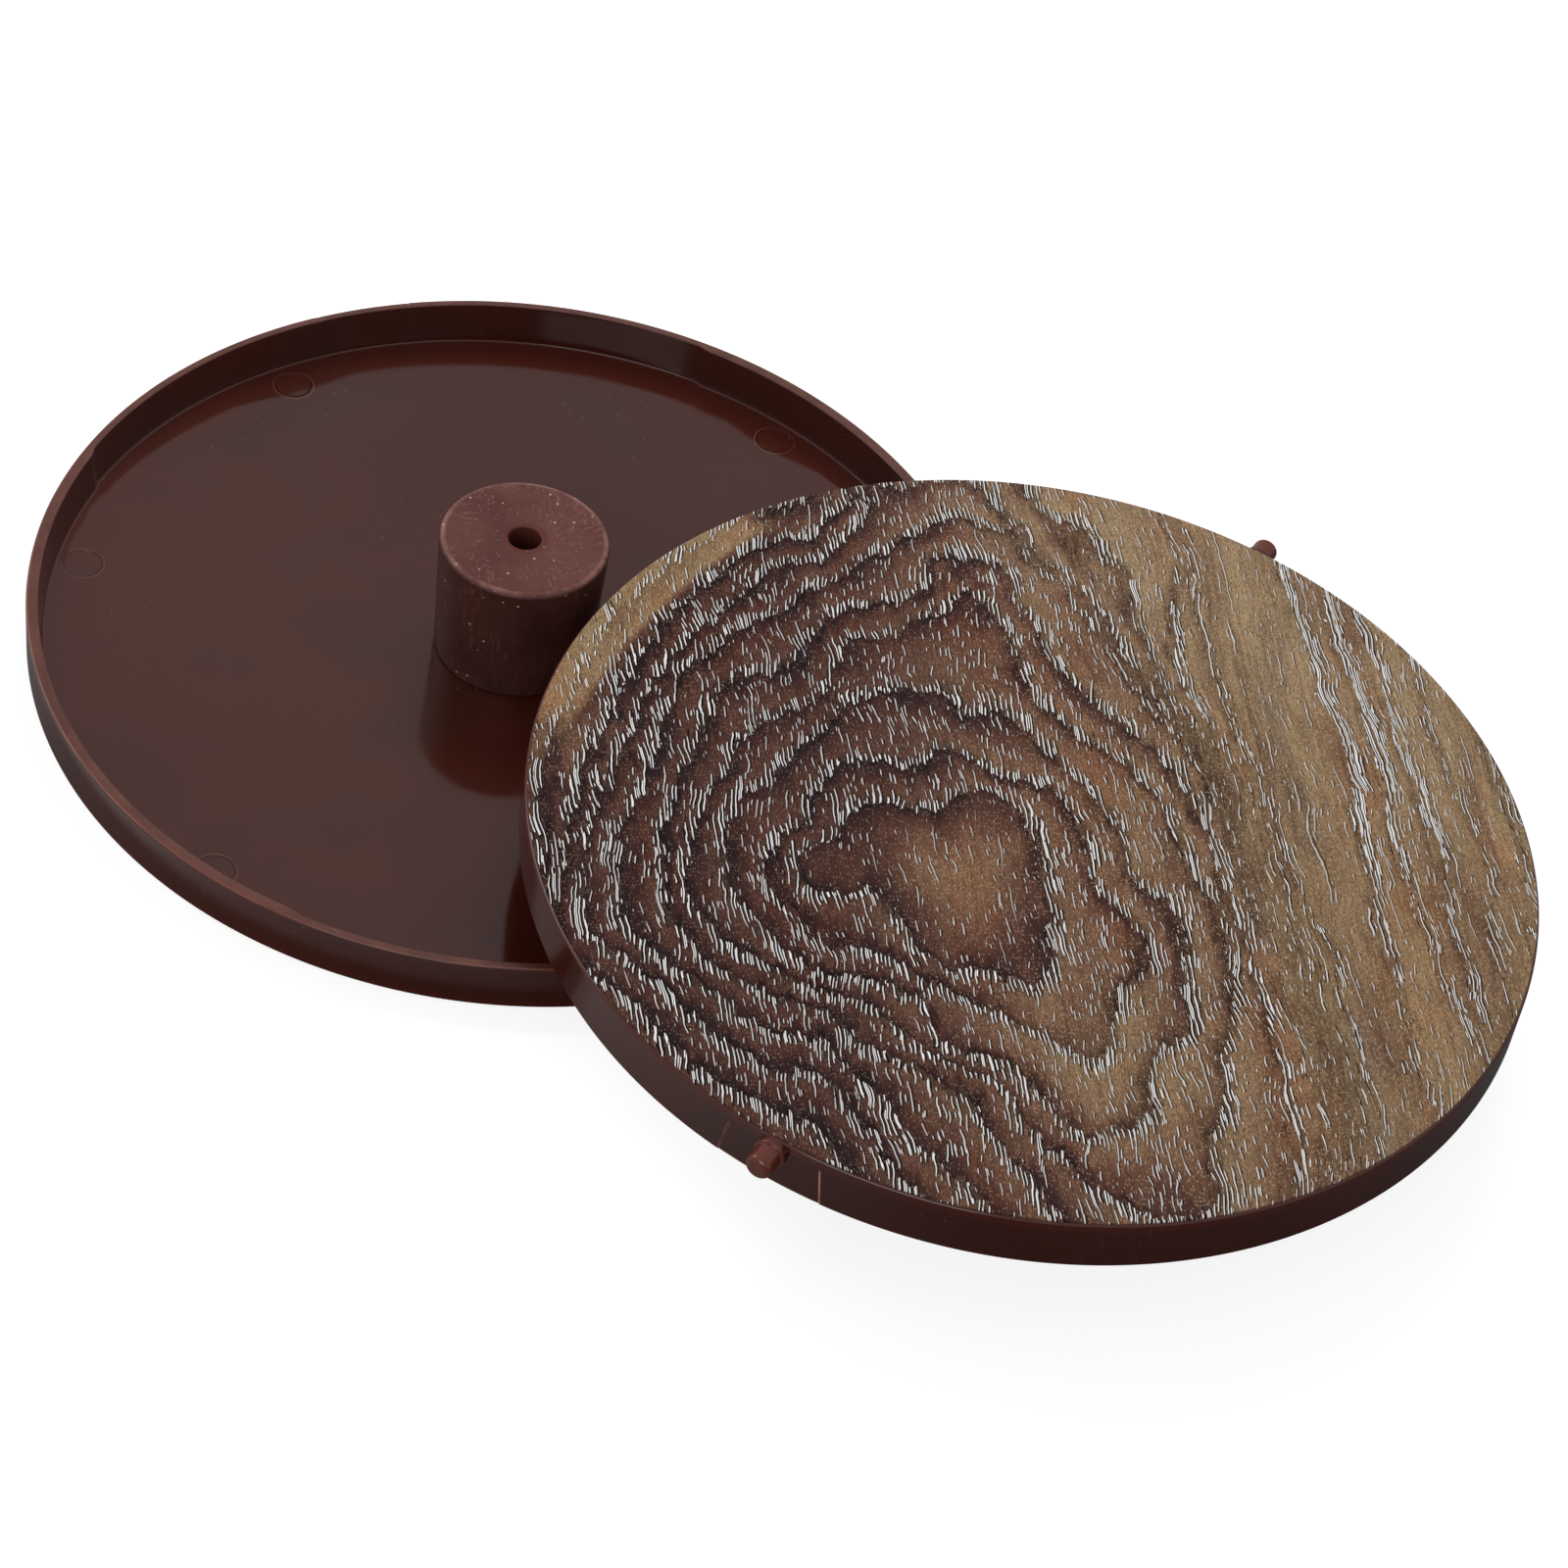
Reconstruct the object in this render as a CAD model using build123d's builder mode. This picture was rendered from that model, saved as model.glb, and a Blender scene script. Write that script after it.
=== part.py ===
"""Two identical swing lids for a round waste bin, set out on a table: one lies face down, the other
stands face up on its counterweight.

Each lid is a shallow moulded dish with two pivot pins on one diameter, a printed wood-grain film
on its face, a tapered counterweight under its centre and one self-tapping screw that holds it on.

Lid frame: +Z out of the decorated face, z = 0 on the face, +X along the pivot axis.
Row frame: +Z up, z = 0 on the table, origin under the centre of the face-down lid,
+X towards the centre of the face-up lid.
"""

import os
from math import cos, radians, sin

from build123d import *

os.makedirs("parts", exist_ok=True)

# ---- driving dimensions, millimetres ----
LID_R = 100.0  # outer radius at the open rim
FACE_R = 99.8  # outer radius where the wall meets the face: the wall has draft
LID_H = 11.6  # face to rim
FACE_FILLET = 0.6  # rounding round the face
RIM_CHAMFER = 0.3  # on the rim's outer edge

FILM_T = 0.3  # printed film
FILM_R = 99.3
FILM_FILLET = 0.12

FLOOR_Z = -2.0  # underside of the dish's floor
WALL_T_THICK = 2.5  # wall between the pivots, at the rim
WALL_T_THIN = 1.8  # wall near the pivots, at the rim, which flexes to let the pins in
WALL_DRAFT = 0.8  # the wall's inside leans in by this much from rim to floor
THIN_HALF_DEG = 45.0  # the thin wall's reach either side of each pivot
THIN_CUT_MARGIN = 0.3  # the thinning cut starts this far inside the thick wall
CORNER_FILLET = 0.6  # inner corner between floor and wall

PIN_Z = -3.5  # pivot axis below the face
PIN_ROOT = LID_R - 1.0  # pins and collars start inside the wall
COLLAR_R = 3.15
COLLAR_END = 101.2
PIN_R = 2.65
PIN_END = 105.5
PIN_ROUND = 1.3

PANEL_RECESS = 0.3  # slide-core panel round each pin, set into the wall
PANEL_HALF_RIM = 10.8  # half width at the panel's lower end
PANEL_HALF_TOP = 9.4  # half width at its top
PANEL_TOP_Z = -1.9
PANEL_CORNER = 1.8
PANEL_LOW_Z = -LID_H - 1  # the cut runs out below the rim
PANEL_OVERCUT = 3  # and outside the wall
PANEL_TRIM_X = 90.0  # the trimming block starts here
PANEL_TRIM_LENGTH = 15.0

EJECTOR_R = 4.0  # ejector-pin marks on the inside
EJECTOR_CENTRE_R = 91.0
EJECTOR_DEPTH = 0.15
EJECTOR_ANGLES = (-11.8, -60.0, -120.0, -191.8, -240.0, -300.0)

SPIGOT_R = 4.5  # screw post under the floor
SPIGOT_END_Z = -14.0
SPIGOT_OVERLAP = 0.5  # the post starts this far inside the floor
PILOT_R = 1.4
PILOT_DEPTH = 10.5

WEIGHT_END_Z = -31.4
WEIGHT_ROOT_R = 16.4
WEIGHT_END_R = 17.5
WEIGHT_END_FILLET = 1.1
WEIGHT_ROOT_FILLET = 0.6
WEIGHT_BORE_R = 3.4  # counterbore for the screw head
WEIGHT_BORE_CHAMFER = 0.35
WEIGHT_SEAT_Z = -17.0  # shoulder that the screw head pulls on
WEIGHT_CLEAR_R = 2.1  # clearance hole for the screw
SOCKET_R = SPIGOT_R + 0.15  # socket that takes the screw post
SOCKET_END_Z = SPIGOT_END_Z - 0.2

SCREW_HEAD_R = 3.15
SCREW_HEAD_H = 2.2
SCREW_HEAD_BEVEL = 0.9
SCREW_HEAD_Z = WEIGHT_SEAT_Z - SCREW_HEAD_H  # outer end of the head
SCREW_MAJOR_R = 1.75
SCREW_MINOR_R = 1.25
SCREW_SHANK_R = SCREW_MINOR_R + 0.3
SCREW_SHANK_END_Z = SPIGOT_END_Z - 0.3
SCREW_THREAD_Z = SPIGOT_END_Z - 0.2  # start of the thread
SCREW_PITCH = 1.3
SCREW_TIP_Z = -5.0
SCREW_POINT_L = 1.2  # least length left unthreaded at the tip
RECESS_LENGTH = 3.4  # cross recess in the screw head
RECESS_WIDTH = 0.75
RECESS_DEPTH = 1.3

# ---- where the two lids stand ----
UPPER_X = 122.7  # centre distance
UPPER_Z = -WEIGHT_END_Z  # the face-up lid stands on its counterweight
UPPER_TURN = -87.8  # direction of its pivot axis, degrees
LOWER_TURN = 145.95


def heading(degrees):
    """Horizontal unit vector, turned from +X towards +Y."""
    return (cos(radians(degrees)), sin(radians(degrees)), 0)


def corner(sketch, x, y):
    """The sketch's vertex nearest to (x, y)."""
    return sketch.vertices().sort_by_distance((x, y, 0))[0]


def circles_at(builder, height, radius_test):
    """Circular edges centred at a height whose radius passes the test."""
    return (
        builder.edges()
        .filter_by(GeomType.CIRCLE)
        .filter_by(
            lambda e: abs(e.center(CenterOf.BOUNDING_BOX).Z - height) < 1e-3
            and radius_test(e.radius)
        )
    )


# ---- slide-core panel: the skin of wall cut away round the +X pin ----
with BuildPart() as slide_panel:
    # ring whose inside follows the drafted wall
    with BuildSketch(Plane.XZ):
        with BuildLine():
            Polyline(
                (FACE_R - PANEL_RECESS, 0),
                (FACE_R + PANEL_OVERCUT, 0),
                (LID_R + PANEL_OVERCUT, PANEL_LOW_Z),
                (LID_R - PANEL_RECESS, PANEL_LOW_Z),
                (LID_R - PANEL_RECESS, -LID_H),
                close=True,
            )
        make_face()
    revolve(axis=Axis.Z)
    # trimmed to the panel's outline, with its rounded top corners
    with BuildSketch(Plane.YZ.offset(PANEL_TRIM_X)) as panel_outline:
        with BuildLine():
            Polyline(
                (-PANEL_HALF_RIM, PANEL_LOW_Z),
                (-PANEL_HALF_TOP, PANEL_TOP_Z),
                (PANEL_HALF_TOP, PANEL_TOP_Z),
                (PANEL_HALF_RIM, PANEL_LOW_Z),
                close=True,
            )
        make_face()
        fillet(panel_outline.vertices().group_by(Axis.Y)[-1], PANEL_CORNER)
    extrude(amount=PANEL_TRIM_LENGTH, mode=Mode.INTERSECT)

# ---- dish: floor, wall, pivot pins and screw post, one moulding ----
with BuildPart() as dish:
    # floor and thick wall
    with BuildSketch(Plane.XZ) as dish_section:
        with BuildLine():
            Polyline(
                (0, -FILM_T),
                (FACE_R, -FILM_T),
                (LID_R, -LID_H),
                (LID_R - WALL_T_THICK, -LID_H),
                (LID_R - WALL_T_THICK - WALL_DRAFT, FLOOR_Z),
                (0, FLOOR_Z),
                close=True,
            )
        make_face()
        fillet(corner(dish_section, FACE_R, -FILM_T), FACE_FILLET)
    revolve(axis=Axis.Z)
    # thinner wall either side of each pivot
    cut_inner_r = LID_R - WALL_T_THICK - WALL_DRAFT - THIN_CUT_MARGIN
    for turn in (-THIN_HALF_DEG, 180 - THIN_HALF_DEG):
        with BuildSketch(Plane(origin=(0, 0, 0), x_dir=heading(turn), z_dir=heading(turn - 90))):
            with BuildLine():
                Polyline(
                    (LID_R - WALL_T_THIN, -LID_H),
                    (LID_R - WALL_T_THIN - WALL_DRAFT, FLOOR_Z),
                    (cut_inner_r, FLOOR_Z),
                    (cut_inner_r, -LID_H),
                    close=True,
                )
            make_face()
        revolve(axis=Axis.Z, revolution_arc=2 * THIN_HALF_DEG, mode=Mode.SUBTRACT)
    # inner corner between floor and wall
    fillet(circles_at(dish, FLOOR_Z, lambda r: r > 90), CORNER_FILLET)
    # outer edge of the rim
    chamfer(circles_at(dish, -LID_H, lambda r: abs(r - LID_R) < 1e-3), RIM_CHAMFER)
    # slide-core panels, one round each pin
    add(slide_panel.part, mode=Mode.SUBTRACT)
    add(slide_panel.part, rotation=(0, 0, 180), mode=Mode.SUBTRACT)
    # collars and pivot pins
    for side in (1, -1):
        for radius, end in ((COLLAR_R, COLLAR_END), (PIN_R, PIN_END)):
            with BuildSketch(
                Plane(origin=(side * PIN_ROOT, 0, PIN_Z), x_dir=(0, 1, 0), z_dir=(side, 0, 0))
            ):
                Circle(radius)
            extrude(amount=end - PIN_ROOT)
    # rounded pin ends
    circles_along_x = dish.edges().filter_by(GeomType.CIRCLE).group_by(Axis.X)
    fillet(circles_along_x[0] + circles_along_x[-1], PIN_ROUND)
    # screw post with its pilot hole
    with BuildSketch(Plane.XY.offset(FLOOR_Z + SPIGOT_OVERLAP)):
        Circle(SPIGOT_R)
    extrude(amount=SPIGOT_END_Z - FLOOR_Z - SPIGOT_OVERLAP)
    with BuildSketch(Plane.XY.offset(SPIGOT_END_Z)):
        Circle(PILOT_R)
    extrude(amount=PILOT_DEPTH, mode=Mode.SUBTRACT)
    # ejector-pin marks
    for angle in EJECTOR_ANGLES:
        x = EJECTOR_CENTRE_R * cos(radians(angle))
        y = EJECTOR_CENTRE_R * sin(radians(angle))
        with BuildSketch(Plane.XY.offset(FLOOR_Z)):
            with Locations((x, y)):
                Circle(EJECTOR_R)
        extrude(amount=EJECTOR_DEPTH, mode=Mode.SUBTRACT)

# ---- printed wood-grain film on the face ----
with BuildPart() as wood_film:
    with BuildSketch(Plane.XY.offset(-FILM_T)):
        Circle(FILM_R)
    extrude(amount=FILM_T)
    fillet(wood_film.edges().group_by(Axis.Z)[-1], FILM_FILLET)

# ---- tapered counterweight, widest at its free end ----
with BuildPart() as counterweight:
    with BuildSketch(Plane.XZ) as weight_section:
        with BuildLine():
            Polyline(
                (SOCKET_R, FLOOR_Z),
                (WEIGHT_ROOT_R, FLOOR_Z),
                (WEIGHT_END_R, WEIGHT_END_Z),
                (WEIGHT_BORE_R, WEIGHT_END_Z),
                (WEIGHT_BORE_R, WEIGHT_SEAT_Z),
                (WEIGHT_CLEAR_R, WEIGHT_SEAT_Z),
                (WEIGHT_CLEAR_R, SOCKET_END_Z),
                (SOCKET_R, SOCKET_END_Z),
                close=True,
            )
        make_face()
        fillet(corner(weight_section, WEIGHT_END_R, WEIGHT_END_Z), WEIGHT_END_FILLET)
        fillet(corner(weight_section, WEIGHT_ROOT_R, FLOOR_Z), WEIGHT_ROOT_FILLET)
        chamfer(corner(weight_section, WEIGHT_BORE_R, WEIGHT_END_Z), WEIGHT_BORE_CHAMFER)
    revolve(axis=Axis.Z)

# ---- self-tapping screw, its thread drawn as rings ----
thread_points = []
z = SCREW_THREAD_Z
while z + SCREW_PITCH < SCREW_TIP_Z - SCREW_POINT_L:
    thread_points += [
        (SCREW_MINOR_R, z),
        (SCREW_MINOR_R, z + 0.45 * SCREW_PITCH),
        (SCREW_MAJOR_R, z + 0.7 * SCREW_PITCH),
    ]
    z += SCREW_PITCH

with BuildPart() as screw:
    with BuildSketch(Plane.XZ):
        with BuildLine():
            Polyline(
                (0, SCREW_HEAD_Z),
                (SCREW_HEAD_R - SCREW_HEAD_BEVEL, SCREW_HEAD_Z),
                (SCREW_HEAD_R, SCREW_HEAD_Z + SCREW_HEAD_BEVEL),
                (SCREW_HEAD_R, WEIGHT_SEAT_Z),
                (SCREW_SHANK_R, WEIGHT_SEAT_Z),
                (SCREW_SHANK_R, SCREW_SHANK_END_Z),
                *thread_points,
                (SCREW_MINOR_R, z),
                (0, SCREW_TIP_Z),
                close=True,
            )
        make_face()
    revolve(axis=Axis.Z)
    # cross recess
    with BuildSketch(Plane.XY.offset(SCREW_HEAD_Z)):
        Rectangle(RECESS_LENGTH, RECESS_WIDTH)
        Rectangle(RECESS_WIDTH, RECESS_LENGTH)
    extrude(amount=RECESS_DEPTH, mode=Mode.SUBTRACT)

# ---- the lids in place: upper stands on its counterweight, lower lies on its film ----
LID_PLANES = {
    "upper_lid": Plane(
        origin=(UPPER_X, 0, UPPER_Z), x_dir=heading(UPPER_TURN), z_dir=(0, 0, 1)
    ),
    "lower_lid": Plane(origin=(0, 0, 0), x_dir=heading(LOWER_TURN), z_dir=(0, 0, -1)),
}
PIECES = {
    "dish": dish,
    "wood_film": wood_film,
    "counterweight": counterweight,
    "screw": screw,
}

for lid_name, lid_plane in LID_PLANES.items():
    for piece_name, piece in PIECES.items():
        with BuildPart(lid_plane) as placed:
            add(piece.part)
        placed.part.label = f"{lid_name}_{piece_name}"
        export_step(placed.part, f"parts/{placed.part.label}.step")
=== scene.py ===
"""Two identical round lids, each with a wood-print film on its face, two pivot pins on the rim
and a counterweight screwed on behind. The upper lid stands face up on its counterweight; the
lower lid lies face down on the floor.

A lid is drawn in mm in its own frame: z = 0 on the wood face, +Z out of it, +X along the pivot
axis. Everything behind the face has negative z. Placed objects are in metres.
"""
import math

import bmesh
import bpy
import numpy as np
from mathutils import Matrix, Vector, geometry


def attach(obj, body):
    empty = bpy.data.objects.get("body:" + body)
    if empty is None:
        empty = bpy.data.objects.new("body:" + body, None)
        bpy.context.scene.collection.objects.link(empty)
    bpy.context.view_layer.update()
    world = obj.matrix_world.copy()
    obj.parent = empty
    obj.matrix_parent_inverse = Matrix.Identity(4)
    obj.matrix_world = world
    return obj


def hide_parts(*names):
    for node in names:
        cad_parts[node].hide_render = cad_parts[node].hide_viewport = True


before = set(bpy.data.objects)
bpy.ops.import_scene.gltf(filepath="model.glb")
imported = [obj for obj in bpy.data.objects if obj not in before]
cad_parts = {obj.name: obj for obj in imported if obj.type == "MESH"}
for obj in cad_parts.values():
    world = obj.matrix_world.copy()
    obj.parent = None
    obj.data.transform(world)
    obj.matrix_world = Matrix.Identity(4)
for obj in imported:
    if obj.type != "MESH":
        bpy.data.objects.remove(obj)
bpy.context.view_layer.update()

MM = 0.001

# ------------------------------------------------------------------ driving dimensions, mm
LID_R, FACE_R, LID_H = 100.0, 99.8, 11.6  # radius at the rim, radius at the face, height
FILM_T, FILM_R = 0.3, 99.3
FLOOR_Z = -2.0  # inside floor of the dish
INNER_THICK_R, INNER_THIN_R = 97.5, 98.2  # inner radius at the rim, thick and thin wall
DRAFT = 0.8  # how far the inside leans in at the floor

PIN_Z = -3.5
COLLAR_R, COLLAR_END = 3.15, 101.2
PIN_R, PIN_END = 2.65, 105.5

# shallow panel sunk into the outer wall round each pin: half widths at the rim and at the top
PANEL_DEPTH, PANEL_RIM, PANEL_TOP = 0.3, 10.8, 9.4
PANEL_TOP_Z, PANEL_CORNER_R = -1.9, 1.8
PANEL_SLOPE = (PANEL_RIM - PANEL_TOP) / (PANEL_TOP_Z + LID_H)

EJECT_R, EJECT_CENTRE_R = 4.0, 91.0  # round ejector marks on the floor
EJECT_ANGLES = (-11.8, -60.0, -120.0, -191.8, -240.0, -300.0)
MARKS = [(EJECT_CENTRE_R * math.cos(math.radians(a)), EJECT_CENTRE_R * math.sin(math.radians(a)))
         for a in EJECT_ANGLES]

POST_R, POST_END, PILOT_R, PILOT_END = 4.5, -14.0, 1.4, -3.5
SCREW_SEAT_Z, WEIGHT_END = -17.0, -31.4

# ------------------------------------------------------------------ places of the two lids
STAND_ANGLE = math.radians(-87.8)
UPPER = (Matrix.Translation((0.1227, 0, -WEIGHT_END * MM))
         @ Matrix.Rotation(STAND_ANGLE, 4, "Z"))
LOWER_ANGLE = math.radians(145.95)
LOWER = Matrix((
    (math.cos(LOWER_ANGLE), math.sin(LOWER_ANGLE), 0, 0),
    (math.sin(LOWER_ANGLE), -math.cos(LOWER_ANGLE), 0, 0),
    (0, 0, -1, 0),
    (0, 0, 0, 1),
))


# ------------------------------------------------------------------ mesh helpers
def smoothstep(x, start, end):
    t = np.clip((np.asarray(x, float) - start) / (end - start), 0, 1)
    return t * t * (3 - 2 * t)


def shade(mesh, sharp):
    """Smooth shading, with edges over `sharp` degrees kept crisp."""
    mesh.polygons.foreach_set("use_smooth", [True] * len(mesh.polygons))
    mesh.set_sharp_from_angle(angle=math.radians(sharp))


def make_mesh(name, verts, faces, sharp=30.0, merge=1e-7):
    """Mesh from points in mm. Doubles closer than `merge` metres join; normals are made to agree."""
    mesh = bpy.data.meshes.new(name)
    mesh.from_pydata([tuple(v * MM for v in p) for p in verts], [], [tuple(f) for f in faces])
    bm = bmesh.new()
    bm.from_mesh(mesh)
    bmesh.ops.remove_doubles(bm, verts=bm.verts, dist=merge)
    bmesh.ops.dissolve_degenerate(bm, edges=bm.edges, dist=1e-9)
    bmesh.ops.recalc_face_normals(bm, faces=bm.faces)
    bm.to_mesh(mesh)
    bm.free()
    shade(mesh, sharp)
    mesh.update()
    return mesh


def circle(radius, z, count):
    angles = [2 * math.pi * k / count for k in range(count)]
    return [(radius * math.cos(a), radius * math.sin(a), z) for a in angles]


def stack(rings):
    """Surface through rings of points; a ring of one point closes that end."""
    verts, faces, numbered = [], [], []
    for ring in rings:
        numbered.append(range(len(verts), len(verts) + len(ring)))
        verts += ring
    for a, b in zip(numbered, numbered[1:]):
        count = max(len(a), len(b))
        for k in range(count):
            j = (k + 1) % count
            if len(a) == 1:
                faces.append((a[0], b[j], b[k]))
            elif len(b) == 1:
                faces.append((a[k], a[j], b[0]))
            else:
                faces.append((a[k], a[j], b[j], b[k]))
    return verts, faces


def revolve(profile, count):
    """Turn (radius, z) points about the z axis."""
    return stack([[(0, 0, z)] if r < 1e-9 else circle(r, z, count) for r, z in profile])


def arc(centre_r, centre_z, radius, start, end, steps):
    """Profile points along an arc; angles in degrees."""
    angles = [math.radians(start + (end - start) * i / steps) for i in range(steps + 1)]
    return [(centre_r + radius * math.cos(a), centre_z + radius * math.sin(a)) for a in angles]


def add_part(verts, faces, part, centre=(0, 0)):
    """Append another surface, moved to `centre`."""
    start = len(verts)
    part_verts, part_faces = part
    verts += [(x + centre[0], y + centre[1], z) for x, y, z in part_verts]
    faces += [tuple(start + i for i in face) for face in part_faces]


def coordinates(mesh):
    flat = np.zeros(len(mesh.vertices) * 3)
    mesh.vertices.foreach_get("co", flat)
    return flat.reshape(-1, 3)


def point_attribute(mesh, name, values, vector=False):
    attribute = mesh.attributes.new(name, "FLOAT_VECTOR" if vector else "FLOAT", "POINT")
    key = "vector" if vector else "value"
    attribute.data.foreach_set(key, np.asarray(values, np.float32).ravel())


def add_object(name, data):
    made = bpy.data.objects.new(name, data)
    bpy.context.scene.collection.objects.link(made)
    return made


# ------------------------------------------------------------------ dish: columns round the wall
# A column is (pin angle, by_panel, place). Beside a pin, place is a fraction of the panel's half
# width; elsewhere it is degrees round from the pin.
PANEL_EDGE_PLACES = {0.984, 0.988, 0.992, 0.996, 1.0, 1.004, 1.008, 1.012, 1.018, 1.03, 1.06, 1.1,
                     1.18, 1.28}
PANEL_BLEND, PANEL_REACH = 1.03, 1.28  # where columns start to, and fully, leave the panel's shape
COLUMN_STEP = 0.75
# the wall thickens this many degrees from either pin, with columns set closer about it
STEP_ANGLE, STEP_WIDTH = 45.0, 1.7
STEP_OFFSETS = [-1.2, -0.6, -0.3, -0.12, -0.04, 0.02, 0.08, 0.16, 0.3, 0.5, 0.75, 1.0, 1.25, 1.45,
                1.6, 1.75, 1.9, 2.2, 2.6]


def dish_columns():
    even = (*np.linspace(0.0, 0.80, 12), *np.linspace(0.80, 0.98, 15))
    half = sorted({round(x, 4) for x in even} | PANEL_EDGE_PLACES)
    panel_places = [-u for u in reversed(half) if u > 0] + half
    panel_end = math.degrees(math.asin(PANEL_REACH * PANEL_RIM / LID_R))
    plain = []
    angle = panel_end + COLUMN_STEP
    while angle < 180 - panel_end - 0.3:
        if not STEP_ANGLE - 1.3 < min(angle, 180 - angle) < STEP_ANGLE + 2.9:
            plain.append(angle)
        angle += COLUMN_STEP
    plain += [STEP_ANGLE + d for d in STEP_OFFSETS] + [180 - STEP_ANGLE - d for d in STEP_OFFSETS]
    columns = []
    for pin_angle in (0.0, 180.0):
        columns += [(pin_angle, True, u) for u in panel_places]
        columns += [(pin_angle, False, a) for a in sorted(plain)]
    return columns


def panel_half(z):
    share = np.clip((PANEL_TOP_Z - z) / (PANEL_TOP_Z + LID_H), 0, 1)
    return float(PANEL_TOP + (PANEL_RIM - PANEL_TOP) * share)


def column_angle(column, z):
    pin_angle, by_panel, place = column
    if not by_panel:
        return math.radians(pin_angle + place)
    follow = 1 - float(smoothstep(abs(place), PANEL_BLEND, PANEL_REACH))
    y = place * (panel_half(z) * follow + PANEL_RIM * (1 - follow))
    return math.radians(pin_angle) + math.asin(y / LID_R)


def inside_panel(column, z):
    """1 inside the round-cornered panel, 0 outside, soft across its edge."""
    _, by_panel, place = column
    if not by_panel:
        return 0.0
    half = panel_half(z)
    past_y = abs(place) * half - (half - PANEL_CORNER_R)
    past_z = z - (PANEL_TOP_Z - PANEL_CORNER_R)
    distance = math.hypot(max(past_y, 0), max(past_z, 0)) + min(max(past_y, past_z), 0)
    return float(1 - smoothstep(distance - PANEL_CORNER_R, -0.10, 0.10))


def inner_radius(column):
    _, by_panel, place = column
    if by_panel:
        return INNER_THIN_R
    # a ramp: sharp where it leaves the thin wall, soft where it meets the thick one
    k = min(max((min(place, 180 - place) - STEP_ANGLE) / STEP_WIDTH, 0.0), 1.0)
    k = k / 0.85 if k < 0.7 else 0.8235 + 0.1765 * (1 - ((1 - k) / 0.3) ** 2.4)
    return INNER_THIN_R + (INNER_THICK_R - INNER_THIN_R) * min(k, 1.0)


def wall_radius(z):
    return FACE_R + (LID_R - FACE_R) * (-z) / LID_H


# ------------------------------------------------------------------ dish: surfaces
SHOULDER_R = 0.6  # round between face and wall
RIM_OUTER_R, RIM_OUTER_R_LOSS = 0.48, 0.30  # outer rim round, and how much less at the panel
RIM_INNER_R, CORNER_R = 0.28, 0.45
ROUND_STEPS = 5
WALL_LEVELS = [-1.2, -1.5] + [round(v, 3) for v in np.arange(-1.70, -3.95, -0.1)] + [
    -4.3, -4.8, -5.5, -6.5, -7.5, -8.6, -9.6, -10.4, -10.9]
MARK_SEGMENTS, POST_SEGMENTS = 96, 64


def wall_rings(columns):
    """Rings from the seat under the film, over the wall and rim, down to the floor's corner."""
    def ring(angle_z, section):
        points = []
        for column in columns:
            angle = column_angle(column, angle_z)
            r, z = section(column)
            points.append((r * math.cos(angle), r * math.sin(angle), z))
        return points

    def wall(column, z):
        return wall_radius(z) - PANEL_DEPTH * inside_panel(column, z), z

    def rim_outer(column, a):
        sunk = inside_panel(column, -LID_H + 0.5)
        radius = RIM_OUTER_R - RIM_OUTER_R_LOSS * sunk
        r = wall_radius(-LID_H) - PANEL_DEPTH * sunk - radius + radius * math.cos(a)
        return r, -LID_H + radius - radius * math.sin(a)

    def rim_inner(column, a):
        return (inner_radius(column) + RIM_INNER_R - RIM_INNER_R * math.sin(a),
                -LID_H + RIM_INNER_R - RIM_INNER_R * math.cos(a))

    def inside(column, z):
        return inner_radius(column) - DRAFT * (z + LID_H) / (FLOOR_Z + LID_H), z

    def corner(column, a):
        return (inner_radius(column) - DRAFT - CORNER_R + CORNER_R * math.cos(a),
                FLOOR_Z - CORNER_R + CORNER_R * math.sin(a))

    turns = [math.radians(90 * i / ROUND_STEPS) for i in range(ROUND_STEPS + 1)]
    rings = [ring(-FILM_T, lambda column: (r, -FILM_T)) for r in (96.0, 98.6)]
    for r, z in arc(FACE_R - SHOULDER_R, -0.9, SHOULDER_R, 90, 0, 7):
        rings.append(ring(z, lambda column: (r, z)))
    rings += [ring(z, lambda column: wall(column, z)) for z in WALL_LEVELS]
    for section, values in (
        (rim_outer, turns),
        (rim_inner, turns),
        (inside, (-10.6, -9.0, -6.5, -4.2, -2.9)),
        (corner, turns[1:]),
    ):
        rings += [ring(-LID_H, lambda column: section(column, value)) for value in values]
    return rings


def inside_outlines(points, outlines):
    """Even-odd test of points against all outlines together."""
    inside = np.zeros(len(points), bool)
    for outline in outlines:
        starts = np.array(outline)
        ends = np.roll(starts, -1, axis=0)
        for (x0, y0), (x1, y1) in zip(starts, ends):
            if y0 == y1:
                continue
            spans = (points[:, 1] > min(y0, y1)) & (points[:, 1] <= max(y0, y1))
            crossing = x0 + (points[:, 1] - y0) * (x1 - x0) / (y1 - y0)
            inside ^= spans & (points[:, 0] < crossing)
    return inside


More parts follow.
